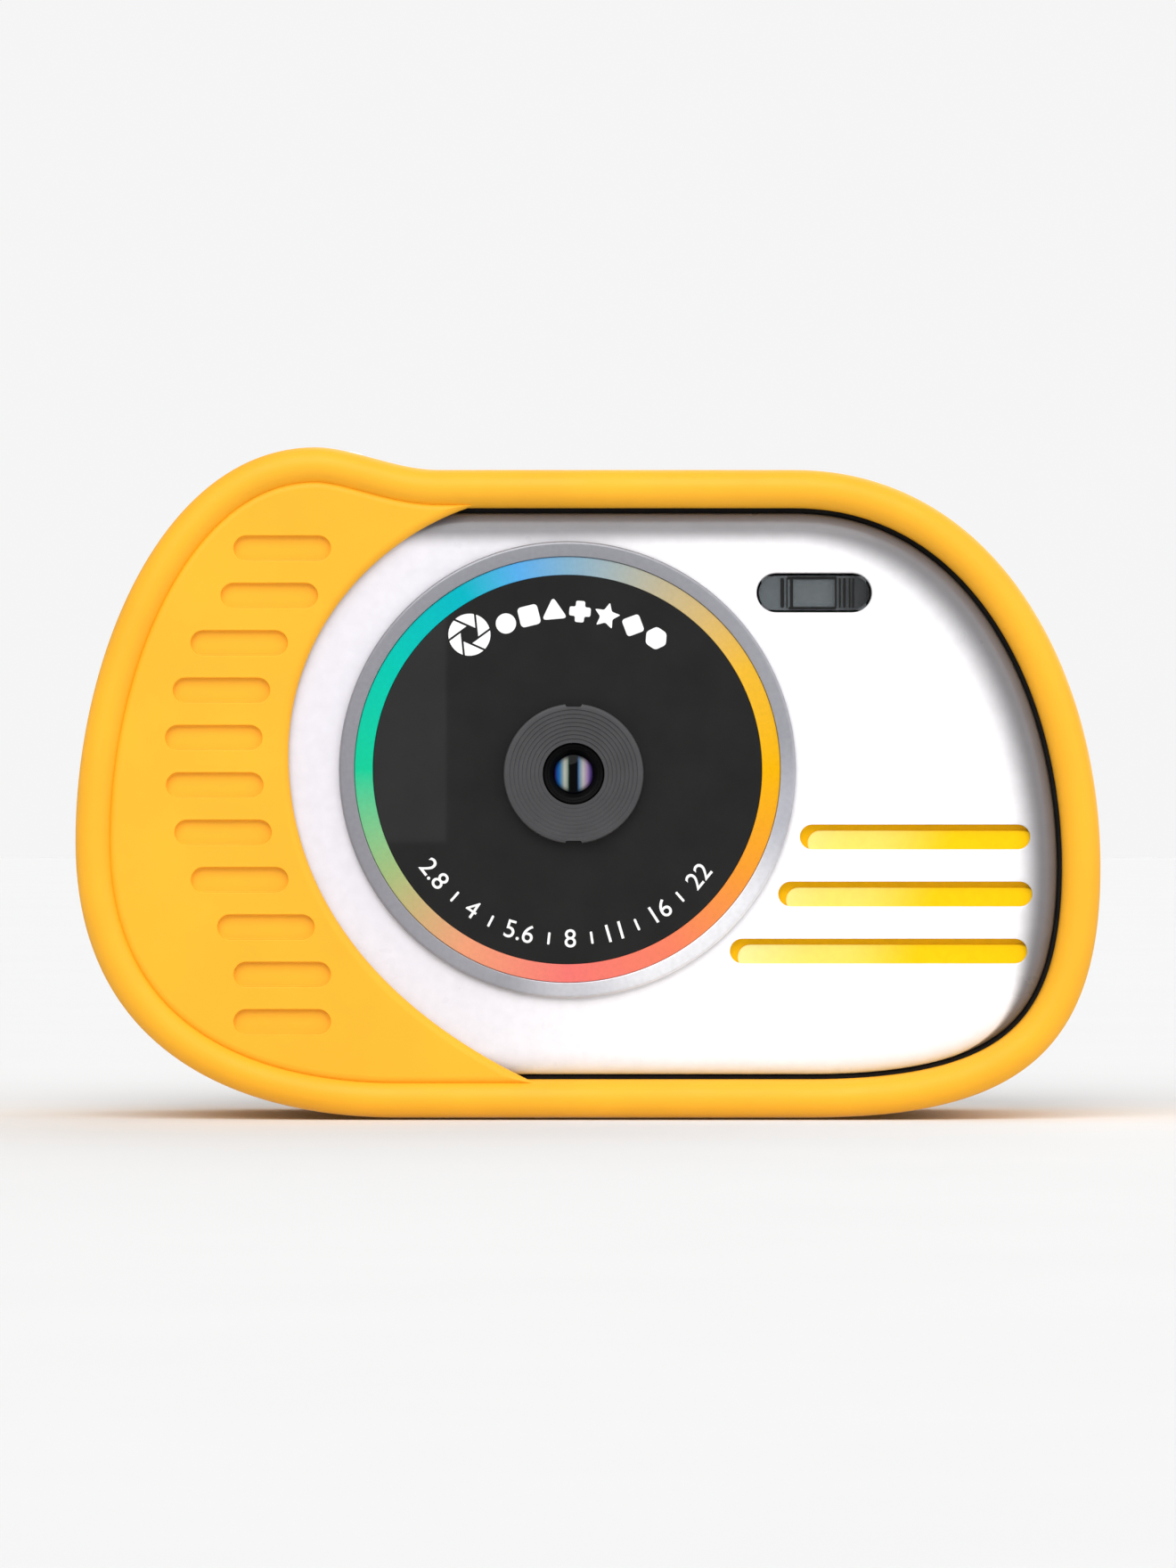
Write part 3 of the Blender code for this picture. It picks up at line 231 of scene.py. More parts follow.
def grown(points, distance):
    """Moves the sides of a counterclockwise polygon outward."""
    result = []
    for index, point in enumerate(points):
        before = (point - points[index - 1]).normalized()
        after = (points[(index + 1) % len(points)] - point).normalized()
        outward = [Vector((side.y, -side.x)) for side in (before, after)]
        corner = (outward[0] + outward[1]).normalized()
        result.append(point + corner * distance / corner.dot(outward[0]))
    return result


def regular(corners, radius, turn):
    return [ray(turn + 360 * index / corners) * radius for index in range(corners)]


def star(corners, outer, inner):
    return [ray(90 + 180 * index / corners) * (outer if index % 2 == 0 else inner)
            for index in range(2 * corners)]


def plus_sign(reach, half):
    arm = [Vector(point) for point in ((half, reach), (-half, reach), (-half, half))]
    return [Matrix.Rotation(math.pi / 2 * turn, 2) @ point for turn in range(4)
            for point in arm]


def quarter(inset, depth, width, rise, steps=8):
    """Returns a rounded edge as insets and depths, from the side to the face."""
    angles = [math.pi / 2 * step / steps for step in range(steps + 1)]
    return [(inset + width * (1 - math.cos(a)), depth + rise * math.sin(a)) for a in angles]


# ---- meshes

def add_object(name, data):
    item = bpy.data.objects.new(name, data)
    bpy.context.scene.collection.objects.link(item)
    return item


def loft(rings, closed=False):
    """Joins rings of points with faces, and closes the two ends or joins them."""
    work = bmesh.new()
    rows = [[work.verts.new(Vector(point) * MM) for point in ring] for ring in rings]
    pairs = list(zip(rows, rows[1:])) + ([(rows[-1], rows[0])] if closed else [])
    for first, second in pairs:
        for index in range(len(first)):
            after = (index + 1) % len(first)
            work.faces.new((first[index], first[after], second[after], second[index]))
    if not closed:
        for row, ring in ((rows[0], rings[0]), (rows[-1], rings[-1])):
            if (Vector(ring[0]) - Vector(ring[len(ring) // 2])).length > MM:
                work.faces.new(row)
    bmesh.ops.remove_doubles(work, verts=work.verts, dist=WELD)
    bmesh.ops.recalc_face_normals(work, faces=work.faces)
    return finished(work)


def finished(work):
    """Puts a mesh under construction into an object."""
    mesh = bpy.data.meshes.new("shape")
    work.to_mesh(mesh)
    work.free()
    return add_object("shape", mesh)


def at_depth(points, y):
    return [(point.x, y, point.y) for point in points]


def flat(outline, section, closed=False):
    """Lofts an outline, a function of its inset, through insets and depths."""
    return loft([at_depth(outline(inset), y) for inset, y in section], closed)


def raised(outline, section):
    """Lofts an outline seen from above through insets and heights."""
    return loft([[(point.x, point.y, height) for point in outline(inset)]
                 for inset, height in section])


def slab(points, front, back):
    return loft([at_depth(points, front), at_depth(points, back)])


def turned(profile, x, z, steps=128, closed=False):
    """Turns a profile of radius and depth about an axis along Y."""
    return flat(lambda radius: circle(x, z, radius, steps), profile, closed)


def turned_up(profile, x, y, steps=96):
    """Turns a profile of radius and height about an upright axis."""
    return raised(lambda radius: circle(x, y, radius, steps), profile)


def evaluated_mesh(piece):
    bpy.context.view_layer.update()
    depsgraph = bpy.context.evaluated_depsgraph_get()
    return bpy.data.meshes.new_from_object(piece.evaluated_get(depsgraph))


def merged(parts):
    """Puts several separate bodies into one object."""
    work = bmesh.new()
    for part in parts:
        mesh = evaluated_mesh(part)
        mesh.transform(part.matrix_world)
        work.from_mesh(mesh)
        bpy.data.meshes.remove(mesh)
        bpy.data.objects.remove(part, do_unlink=True)
    return finished(work)


def settle(piece):
    """Turns a piece's modifier into its shape."""
    piece.data = evaluated_mesh(piece)
    piece.modifiers.clear()


def combine(piece, tool, operation):
    """Combines a piece with a tool, and removes the tool."""
    modifier = piece.modifiers.new("Boolean", "BOOLEAN")
    modifier.operation = operation
    modifier.solver = "EXACT"
    modifier.object = tool
    settle(piece)
    bpy.data.objects.remove(tool, do_unlink=True)


def cut(piece, tool):
    combine(piece, tool, "DIFFERENCE")


def join(piece, tool):
    combine(piece, tool, "UNION")


def bevelled(piece, width, segments=3):
    modifier = piece.modifiers.new("Bevel", "BEVEL")
    modifier.width = width * MM
    modifier.segments = segments
    modifier.limit_method = "ANGLE"
    modifier.angle_limit = math.radians(40)
    settle(piece)
    return piece


def flared(outline, mouth, floor, flare):
    """Makes a tool that cuts a recess or a hole from the front or the back, with a soft lip."""
    out = -1 if mouth < floor else 1
    return flat(outline, [
        (0.0, floor), (0.0, mouth - out * flare), (-flare * 0.3, mouth - out * flare * 0.3),
        (-flare, mouth), (-flare * 1.5, mouth + out * flare * 0.5)])


def place(piece, name, slot, material, *nodes, body=BODY, angle=35):
    """Names and shades a piece and puts it on its body, in place of the CAD nodes given."""
    mesh = piece.data
    piece.name = mesh.name = name
    mesh.materials.clear()
    mesh.materials.append(material)
    mesh.shade_smooth()
    mesh.set_sharp_from_angle(angle=math.radians(angle))
    weighted = piece.modifiers.new("Weighted normals", "WEIGHTED_NORMAL")
    weighted.keep_sharp = True
    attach(piece, body)
    if nodes:
        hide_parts(*nodes)


# ---- materials

def linear(colour):
    """Turns display values into the linear values that shaders use."""
    shares = [value / 255 for value in colour]
    return (*[share / 12.92 if share <= 0.04045 else ((share + 0.055) / 1.055) ** 2.4
              for share in shares], 1.0)


def scaled(colour, factor):
    """Makes a linear colour lighter or darker."""
    return (*[min(1.0, channel * factor) for channel in colour[:3]], 1.0)


class Surface:
    """A material under construction: its nodes, its shader and coordinates in millimetres."""

    def __init__(self, name, colour, roughness, metallic=0.0, **constants):
        self.material = bpy.data.materials.new(name)
        self.material.use_nodes = True
        self.tree = self.material.node_tree
        self.shader = self.tree.nodes["Principled BSDF"]
        self.colour = linear(colour)
        self.feed(self.shader, Base_Color=self.colour, Roughness=roughness, Metallic=metallic,
                  **constants)
        coordinates = self.node("TexCoord").outputs["Object"]
        scale = self.node("VectorMath", "SCALE", coordinates)
        self.place = self.feed(scale, Scale=1 / MM).outputs[0]

    def set(self, socket, value):
        """Gives a socket a constant, or links an output to it."""
        if hasattr(value, "links"):
            self.tree.links.new(value, socket)
        else:
            socket.default_value = value

    def node(self, kind, operation=None, *values):
        """Adds a node, and gives values to its first inputs."""
        node = self.tree.nodes.new("ShaderNode" + kind)
        if operation:
            node.operation = operation
        for socket, value in zip(node.inputs, values):
            self.set(socket, value)
        return node

    def feed(self, node, **values):
        """Gives values to a node's inputs, by name."""
        for socket, value in values.items():
            self.set(node.inputs[socket.replace("_", " ")], value)
        return node

    def axes(self, extent=None):
        """Returns the coordinates one by one, from the middle of a CAD node if one is given."""
        place = self.place
        if extent:
            middle = (extent.x, 0.0, extent.z)
            place = self.node("VectorMath", "SUBTRACT", place, middle).outputs[0]
        return self.node("SeparateXYZ", None, place).outputs

    def math(self, operation, *values, clamp=False):
        node = self.node("Math", operation, *values)
        node.use_clamp = clamp
        return node.outputs[0]

    def noise(self, size, detail=2.0, stretch=(1.0, 1.0, 1.0), vector=None):
        """Returns noise whose lumps have about the given size."""
        mapping = self.feed(self.node("Mapping"), Scale=[1 / axis for axis in stretch],
                            Vector=vector or self.place)
        return self.feed(self.node("TexNoise"), Scale=1 / size, Detail=detail,
                         Vector=mapping.outputs[0]).outputs["Fac"]

    def span(self, value, low, high, to_low=0.0, to_high=1.0):
        node = self.feed(self.node("MapRange"), From_Min=low, From_Max=high, To_Min=to_low,
                         To_Max=to_high, Value=value)
        return node.outputs["Result"]

    def ramp(self, value, stops, interpolation="LINEAR", factor=1.0):
        """Returns the colour of a ramp; the stops are positions and colours."""
        node = self.node("ValToRGB", None, value)
        node.color_ramp.interpolation = interpolation
        elements = node.color_ramp.elements
        for _ in range(len(stops) - 2):
            elements.new(0.5)
        for element, (position, colour) in zip(elements, stops):
            element.position = position
            element.color = scaled(linear(colour), factor)
        return node.outputs["Color"]

    def mix(self, share, *colours):
        """Mixes two colours, each an output or linear values."""
        node = self.node("Mix")
        node.data_type = "RGBA"
        self.feed(node, Factor=share, A=colours[0], B=colours[1])
        return node.outputs["Result"]

    def paint(self, colour):
        self.feed(self.shader, Base_Color=colour)

    def tones(self, size, amount, colour=None):
        """Varies the colour a little, as mixed pigment does."""
        share = self.span(self.noise(size, 4.0), 0.3, 0.7)
        low, high = 1.0 - amount, 1.0 + amount * 0.4
        if colour is None:
            self.paint(self.mix(share, scaled(self.colour, low), scaled(self.colour, high)))
        else:
            value = self.span(share, 0.0, 1.0, low, high)
            node = self.feed(self.node("HueSaturation"), Value=value, Color=colour)
            self.paint(node.outputs["Color"])
        return self

    def grain(self, size, height, detail=2.0, stretch=(1.0, 1.0, 1.0), vector=None):
        """Adds a fine relief."""
        bump = self.feed(self.node("Bump"), Strength=1.0, Distance=height * MM,
                         Height=self.noise(size, detail, stretch, vector))
        self.feed(self.shader, Normal=bump.outputs["Normal"])
        return self

    def sheen_marks(self, size, low, high):
        """Varies the roughness, as handling does."""
        roughness = self.span(self.noise(size, 3.0), 0.3, 0.7, low, high)
        self.feed(self.shader, Roughness=roughness)
        return self

    def clockwise(self, extent):
        """Returns the share of a turn, clockwise from the top, about a CAD node's middle."""
        parts = self.axes(extent)
        angle = self.math("ARCTAN2", parts["X"], parts["Z"])
        turns = self.math("DIVIDE", angle, 2 * math.pi)
        return self.math("FRACT", self.math("ADD", turns, 1.0))


def white_plastic(name, painted_shade=False):
    """White satin plastic. With painted shade, it is grey where the mesh's attribute paints the
    rim's shadow, a little greyer towards the left, and bluish white where it cancels yellow
    bounce light.
    """
    look = Surface(name, (250, 249, 252), 0.3, Coat_Weight=0.15, Coat_Roughness=0.12)
    colour = None
    if painted_shade:
        edge = look.node("Attribute")
        edge.attribute_name = PAINTED_EDGE_SHADE
        value = edge.outputs["Fac"]
        # Painted shade: the plate is a little greyer towards the left.
        across = look.span(look.axes()["X"], -30.0, 8.0)
        left_shade = look.ramp(across, [(0.0, (226, 223, 231)), (0.5, (229, 227, 233)),
                                   (1.0, (250, 249, 252))])
        # Painted tint: bluish white where the attribute is negative, against the yellow bounce
        # light.
        bounce_cancel = look.mix(look.math("MULTIPLY", value, -1.0, clamp=True), left_shade,
                        linear((238, 250, 255)))
        # Painted shadow of the rim: grey where the attribute is positive.
        colour = look.mix(look.math("MAXIMUM", value, 0.0), bounce_cancel, linear((116, 115, 119)))
    look.tones(1.2, 0.04, colour).sheen_marks(4.0, 0.26, 0.38)
    return look.grain(0.25, 0.004).material


def plain_plastic(name, colour, roughness, texture=0.006, **constants):
    look = Surface(name, colour, roughness, **constants).tones(3.0, 0.12)
    look.sheen_marks(2.5, roughness - 0.06, roughness + 0.08)
    return look.grain(0.10, texture).material


def brushed_ring():
    """Silver, brushed round the lens, with a painted highlight: a broad bright band at the
    lower right.
    """
    look = Surface("brushed_silver_painted_highlight", (150, 150, 156), 0.34, 0.35)
    # The pale colour is the painted highlight at the lower right of the ring.
    grey, pale = (148, 149, 155), (246, 246, 250)
    turn = look.clockwise(BEZEL)
    look.tones(0.5, 0.07, look.ramp(turn, [
        (0.0, grey), (0.22, (160, 160, 168)), (0.28, (186, 187, 196)), (0.36, pale),
        (0.43, pale), (0.50, (206, 206, 212)), (0.55, (162, 162, 169)),
        (0.70, (146, 145, 152)), (1.0, grey)], "EASE"))
    parts = look.axes(BEZEL)
    squares = [look.math("POWER", parts[axis], 2.0) for axis in "XZ"]
    radius = look.math("SQRT", look.math("ADD", *squares))
    rounds = look.node("CombineXYZ", None, radius, look.math("MULTIPLY", turn, 6.0))
    return look.grain(0.06, 0.002, 2.0, (1.0, 8.0, 1.0), rounds.outputs[0]).material


def rainbow_print():
    """Ink that runs through the colours once round the lens."""
    look = Surface("rainbow_print", (254, 190, 60), 0.5, Specular_IOR_Level=0.06)
    hours = ((135, 180, 207), (202, 186, 145), (248, 193, 58), (254, 188, 3), (254, 162, 52),
             (253, 134, 102), (253, 126, 119), (247, 165, 125), (168, 194, 130), (22, 210, 157),
             (1, 204, 182), (4, 187, 202))
    stops = [(index / len(hours), colour) for index, colour in enumerate(hours)]
    stops += [(0.962, (92.4, 177.2, 240.2)), (1.0, hours[0])]
    turn = look.clockwise(BEZEL)
    look.tones(0.4, 0.05, look.ramp(turn, stops, factor=0.82))
    return look.grain(0.15, 0.002).material


def stripe_yellow_painted_highlight():
    """Clear yellow plastic with a painted highlight that makes it paler at the left; in the
    longer, lower ribs it turns sooner.
    """
    look = Surface("stripe_yellow_painted_highlight", (250, 198, 6), 0.35, Specular_IOR_Level=0.1)
    slant, highest = 0.3, SLOTS[0][2]
    parts = look.axes()
    shifted = look.math("SUBTRACT", parts["X"], look.math("MULTIPLY", parts["Z"], slant))
    across = look.span(shifted, STRIPES.left - slant * highest,
                       STRIPES.right - slant * highest)
    # Painted highlight: paler at the left, along a slant.
    fade = look.ramp(across, [(0.0, (250, 232, 165)), (0.45, (250, 218, 100)),
                              (0.74, (250, 199, 8)), (1.0, (250, 196, 2))], "EASE")
    return look.tones(0.8, 0.04, fade).grain(0.2, 0.003).material


def glass_painted_reflection():
    """The front lens with painted reflections: teal on one side, violet on the other, black
    between.
    """
    look = Surface("glass_painted_reflection", (20, 24, 60), 0.03, Specular_IOR_Level=0.06,
                   Coat_Weight=0.03, Coat_Roughness=0.01)
    parts = look.axes(GLASS)
    across = look.span(parts["X"], -GLASS.width / 2, GLASS.width / 2)
    dark = (4, 4, 6)
    # Painted reflections: teal and violet bands either side of a black one.
    band = look.ramp(across, [
        (0.0, dark), (0.03, (40, 30, 90)), (0.08, (20, 70, 150)), (0.15, (30, 104, 170)),
        (0.21, (110, 140, 150)), (0.28, (176, 178, 168)), (0.34, (140, 148, 138)),
        (0.38, (30, 60, 44)), (0.40, dark), (0.59, dark), (0.61, (40, 76, 120)),
        (0.66, (110, 136, 156)), (0.74, (180, 176, 172)), (0.82, (160, 136, 170)),
        (0.91, (92, 68, 140)), (1.0, dark)])
    height, width = [look.math("POWER", look.math("ABSOLUTE", parts[axis]), 2.0)
                     for axis in "ZX"]
    reach = look.math("ADD", height, look.math("MULTIPLY", width, 0.8))
    # The painted reflections end towards the rim, where the lens is dark.
    look.paint(look.mix(look.span(reach, 2.0, 3.3), band, linear((4, 5, 9))))
    return look.grain(1.5, 0.0006).material


def flash_plastic_painted_shade():
    """Clear plastic over the flash, with painted shade that darkens it towards its right end.
    """
    look = Surface("flash_plastic_painted_shade", (112, 120, 124), 0.12, Alpha=0.55, Coat_Weight=0.4,
                   Coat_Roughness=0.05)
    across = look.span(look.axes()["X"], FLASH.left, FLASH.right)
    # Painted shade, darker towards the right end.
    look.tones(0.6, 0.15, look.ramp(across, [
        (0.0, (108, 116, 120)), (0.6, (112, 120, 124)), (0.8, (76, 80, 83)),
        (1.0, (26, 27, 28))]))
    return look.grain(0.3, 0.003, 2.0, (0.3, 1.0, 4.0)).material


def metal(name, colour, roughness, size=0.08, stretch=(1.0, 1.0, 1.0)):
    look = Surface(name, colour, roughness, 1.0).tones(0.8, 0.10)
    look.sheen_marks(1.2, roughness * 0.8, roughness * 1.5)
    return look.grain(size, 0.002, 2.0, stretch).material


def screen_glass():
    """Gloss black border round a display area that is a little lighter."""
    look = Surface("screen_glass", (12, 12, 14), 0.04, Coat_Weight=0.6, Coat_Roughness=0.02)
    parts = look.axes(LCD)
    soft = 0.12
    sides = [look.span(look.math("ABSOLUTE", parts[axis]), half - soft, half)
             for axis, half in (("X", LCD.width / 2 - 1.0), ("Z", LCD.height / 2 - 1.75))]
    glow = look.mix(look.span(look.noise(26.0, 1.0), 0.3, 0.7), linear((34, 38, 44)),
                    linear((46, 50, 58)))
    look.paint(look.mix(look.math("MAXIMUM", *sides), glow, linear((10, 10, 12))))
    return look.grain(3.0, 0.0004).material


def board():
    """Circuit board: green solder mask with paler tracks."""
    green = (20, 96, 52)
    look = Surface("circuit_board", green, 0.35, Coat_Weight=0.3, Coat_Roughness=0.15)
    tracks = look.node("TexVoronoi")
    tracks.distance = "MANHATTAN"
    look.feed(tracks, Scale=0.7, Vector=look.place)
    share = look.span(tracks.outputs["Distance"], 0.42, 0.46)
    look.paint(look.mix(share, linear(green), linear((42, 128, 74))))
    return look.grain(0.5, 0.01).material


SILICONE = (Surface("yellow_silicone", (250, 180, 38), 0.48, Specular_IOR_Level=0.3)
            .tones(9.0, 0.05).sheen_marks(6.0, 0.42, 0.56).grain(0.12, 0.006).material)
STRIPE_SHADE = (Surface("stripe_shade", (255, 194, 2), 0.45, Specular_IOR_Level=0.1)
                .tones(0.8, 0.06).grain(0.2, 0.003).material)
DISC_BLACK = (Surface("disc_black", (34, 34, 34), 0.03, Specular_IOR_Level=0.16)
              .tones(5.0, 0.15).sheen_marks(12.0, 0.024, 0.048).grain(2.5, 0.0004).material)
CLEAR = (Surface("clear_plastic", (140, 150, 156), 0.1, Alpha=0.42, Coat_Weight=0.5,
                 Coat_Roughness=0.05).tones(1.5, 0.10).grain(0.5, 0.002).material)
WRAP = (Surface("battery_wrap", (50, 104, 176), 0.35, Coat_Weight=0.3)
        .tones(4.0, 0.1).grain(1.5, 0.02).material)
WHITE = white_plastic("white_plastic")
PLATE_PAINTED_SHADE = white_plastic("white_plate_painted_shade", painted_shade=True)
PRINT_WHITE = plain_plastic("white_ink", (244, 244, 244), 0.5, 0.002)
PRINT_GREY = plain_plastic("grey_ink", (96, 84, 62), 0.5, 0.002)
BLACK = plain_plastic("black_plastic", (10, 10, 10), 0.5, Specular_IOR_Level=0.3)
TUBE_BLACK = plain_plastic("tube_black", (6, 6, 6), 0.6, Specular_IOR_Level=0.1)
HOOD_GREY = plain_plastic("grey_plastic", (68, 68, 70), 0.5, 0.004, Specular_IOR_Level=0.3)
RUBBER = plain_plastic("dark_rubber", (58, 58, 60), 0.65, 0.01)
CHIP = plain_plastic("chip_black", (38, 38, 40), 0.5, 0.012)
STEEL = metal("steel", (196, 197, 200), 0.25)
MIRROR = metal("reflector_metal", (150, 156, 160), 0.18, 0.4, (0.2, 1.0, 8.0))
PIN_STEEL = metal("pin_steel", (200, 200, 204), 0.22)


# ---- case

def case_section():
    """Returns the section of the case's wall: distance inward, and depth forward."""
    def arc(x, y, width, height, start, steps):
        angles = [math.radians(start + 180 * step / steps) for step in range(steps + 1)]
        return [Vector((x, y)) + Vector((-math.cos(angle) * width, math.sin(angle) * height))
                for angle in angles]
    inside = [Vector((RIM_WIDTH, LIP_UNDERSIDE)), Vector((CASE_WALL, LIP_UNDERSIDE)),
              Vector((CASE_WALL, -LIP_UNDERSIDE)), Vector((BACK_LIP_WIDTH, -LIP_UNDERSIDE))]
    outside = [Vector(point) for point in ((0.1, -11.0), (0.0, -7.5), (0.0, 0.0), (0.0, 7.5),
                                           (0.07, 11.0))]
    return (arc(2.0, 14.0, 1.85, 2.0, 0, 24) + inside + arc(3.2, -13.6, 2.8, 2.4, 180, 20)
            + outside)


def grooves():
    """Returns the tools of the grip panel's grooves."""
    grip_edge = curve_points(GRIP_EDGE, 0.0, closed=False)
    count, lowest, pitch = 11, 9.5, 4.6
    length, height, depth, lip = 9.4, 2.4, 0.6, 0.14
    floor = GRIP_FACE + depth
    section = [(0.12, floor), (0.04, floor - 0.04), (0.0, floor - 0.12),
               (0.0, GRIP_FACE + lip), (-lip * 0.3, GRIP_FACE + lip * 0.3),
               (-lip, GRIP_FACE), (-lip * 1.6, GRIP_FACE - 0.3)]
    tools = []
    for index in range(count):
        z = lowest + pitch * index
        right = min(x_at(grip_edge, z) - 2.6, -25.0)
        outline = box_outline(right - length / 2, z, length, height, height / 2, 8)
        tools.append(flat(outline, section))
    return tools


def grip_panel():
    panel_edge = quarter(GRIP_INSET, GRIP_FACE + 0.55, 0.75, -0.55)
    panel = flat(case_points, [(GRIP_INSET, -LIP_UNDERSIDE)] + panel_edge)
    free_edge = quarter(0.0, GRIP_FACE + 0.7, 0.9, -0.7)
    area = flat(grip_points, [(1.5, -12.0), (1.5, -14.5), (0.0, -14.6)] + free_edge
                + [(0.9, GRIP_FACE - 1.0)])
    combine(panel, area, "INTERSECT")
    return panel


def silicone_case():
    case = loft([at_depth(case_points(inset), -forward) for inset, forward in case_section()],
                closed=True)
    join(case, grip_panel())
    tools = grooves()
    shutter_hole = [(4.85, 61.0), (4.85, 64.8), (5.0, 65.3), (5.5, 65.8), (6.2, 66.5)]
    tools.append(turned_up(shutter_hole, SHUTTER.x, SHUTTER.y, 64))
    power_hole = box_outline(POWER.x, POWER.y, POWER.width + 1.0, POWER.depth + 1.0,
                             POWER.depth / 2 + 0.5)
    tools.append(raised(power_hole, ((0.0, 60.6), (0.0, 62.7), (-0.15, 63.1), (-0.5, 63.6))))
    bottom, top = PIN.z - 2.3, DOOR.top + 0.7
    window = rounded_box(DOOR.y, (bottom + top) / 2, DOOR.depth + 0.8, top - bottom, 1.5)
    tools.append(loft([[(x, point.x, point.y) for point in window] for x in (43.0, 52.0)]))
    cut(case, merged(tools))
    place(case, "soft_case", "yellow_silicone", SILICONE, "silicone_case", angle=32)


# ---- front

def front_plate():
    edge = quarter(PLATE_INSET, -LIP_UNDERSIDE, ROLLED_WIDTH, PLATE.front + LIP_UNDERSIDE, 12)
    # Rings on the flat face carry the painted shadow of the rim as it thins out.
    edge += [(PLATE_INSET + 2.6 + 0.4 * step, PLATE.front) for step in range(7)]
    plate = flat(case_points, [(PLATE_INSET, PLATE.back)] + edge)
    before, behind = PLATE.front - 2.0, PLATE.back + 2.0
    cut(plate, flat(grip_points, [(1.2, before), (1.2, behind)]))
    opening = circle(BEZEL.x, BEZEL.z, BEZEL.width / 2 - 0.3, 128)
    flash = slot_outline(FLASH.left - 0.2, FLASH.right + 0.2, FLASH.z, FLASH.height + 0.4)
    tools = [slab(opening, before, behind), flared(flash, PLATE.front, behind, 0.25)]
    for ends in SLOTS:
        tools.append(flared(slot_outline(*ends), PLATE.front, behind, 0.08))
    cut(plate, merged(tools))
    paint_edge_shade(plate)
    place(plate, "white_plate_painted_shade", "white_plastic", PLATE_PAINTED_SHADE, "front_plate")


def paint_edge_shade(plate):
    """Paints the rim's shadow, grey along the top and the right of the plate's rolled edge, and
    a bluish white elsewhere that cancels the yellow bounce light.
    """
    rim = case_points(PLATE_INSET)
    outward = [(outer - inner).normalized() for outer, inner in zip(case_points(0.0), rim)]
    towards, widest = ray(45), ray(32)
    values = []
    for vertex in plate.data.vertices:
        spot = Vector((vertex.co.x, vertex.co.z)) / MM
        distance, index = min(((spot - point).length, index)
                              for index, point in enumerate(rim))
        reach = min(1.0, max(0.0, outward[index].dot(towards) + 0.45))
        white = EDGE_WHITE + EDGE_WIDER * max(0.0, outward[index].dot(widest)) ** 2
        fade = 0.0
        if reach > 0.0:
            fade = min(1.0, max(0.0, (white - distance / reach) / (white - EDGE_GREY)))
        # The painted shadow of the rim.
        grey = fade * fade * (3.0 - 2.0 * fade)
        # The painted bluish tint against the yellow bounce light, where the painted shadow is
        # absent.
        bounce_cancel = (1.0 - reach) * max(0.0, 1.0 - distance / EDGE_GREY)
        values.append(grey - bounce_cancel * (1.0 - grey))
    attribute = plate.data.attributes.new(PAINTED_EDGE_SHADE, "FLOAT", "POINT")
    attribute.data.foreach_set("value", values)


def stripe_points():
    """Returns the outline of the insert behind the slots, which clears the lens ring."""
    margin = 0.9
    (high, high_z), (middle, middle_z), (low, low_z) = [(left - margin, z)
                                                        for left, _, z in SLOTS]
    return [Vector(point) for point in (
        (low, STRIPES.bottom), (STRIPES.right, STRIPES.bottom), (STRIPES.right, STRIPES.top),
        (high, STRIPES.top), (high, high_z - 1.2), (middle, middle_z + 1.4),
        (middle, middle_z - 1.6), (low + 1.2, low_z + 1.8), (low, low_z + 0.4))]


def stripe_insert():
    """Makes the yellow insert: a raised rib shows in each slot, set down and to the right."""
    face = STRIPES.front
    base = slab(stripe_points(), face, STRIPES.back)
    place(base, "stripe_insert_base", "yellow_plastic", STRIPE_SHADE, "stripe_insert")
    ribs = []
    for left, right, z in SLOTS:
        outline = slot_outline(left + 0.75, right + 0.6, z - 0.62, SLOT_HEIGHT + 0.1)
        edge = quarter(0.0, face - 0.30, 0.18, -0.18, 5)
        ribs.append(flat(outline, [(0.0, face - 0.02)] + edge))
    place(merged(ribs), "stripe_insert_ribs", "yellow_plastic", stripe_yellow_painted_highlight())


def lens_ring():
    """Makes the silver ring, and the coloured ring between it and the disc."""
    face, outer, inner, seat = BEZEL.front, BEZEL.width / 2, 20.7, PLATE.front - 0.2
    bezel = turned([
        (inner, BEZEL.back), (inner, face + 0.12), (inner + 0.04, face + 0.03),
        (inner + 0.12, face), (outer - 0.3, face), (outer - 0.12, face + 0.05),
        (outer - 0.03, face + 0.15), (outer, face + 0.3), (outer, seat),
        (outer - 0.6, seat), (outer - 0.6, BEZEL.back)], BEZEL.x, BEZEL.z, 256, True)
    place(bezel, "silver_ring", "silver_metal", brushed_ring(), "lens_bezel")
    radius, face, back = DISC.width / 2, DISC.front, -13.9
    ring = turned([
        (radius + 0.02, back), (radius + 0.02, face + 0.03), (radius + 0.05, face),
        (inner - 0.06, face), (inner - 0.03, face + 0.03), (inner - 0.03, back)],
        BEZEL.x, BEZEL.z, 256, True)
    place(ring, "rainbow_ring", "ring_print", rainbow_print(), "colour_ring")


def lens_disc():
    radius, hole, face = DISC.width / 2, 6.0, DISC.front

    def ring(centre, size, y):
        return at_depth(circle(centre.x, centre.z, size, 192), y)
    disc = loft([
        ring(DISC, radius, DISC.back), ring(DISC, radius, face + 0.04),
        ring(DISC, radius - 0.04, face), ring(HOOD, hole + 0.04, face),
        ring(HOOD, hole, face + 0.04), ring(HOOD, hole, DISC.back)], closed=True)
    place(disc, "black_disc", "black_disc", DISC_BLACK, "lens_disc")


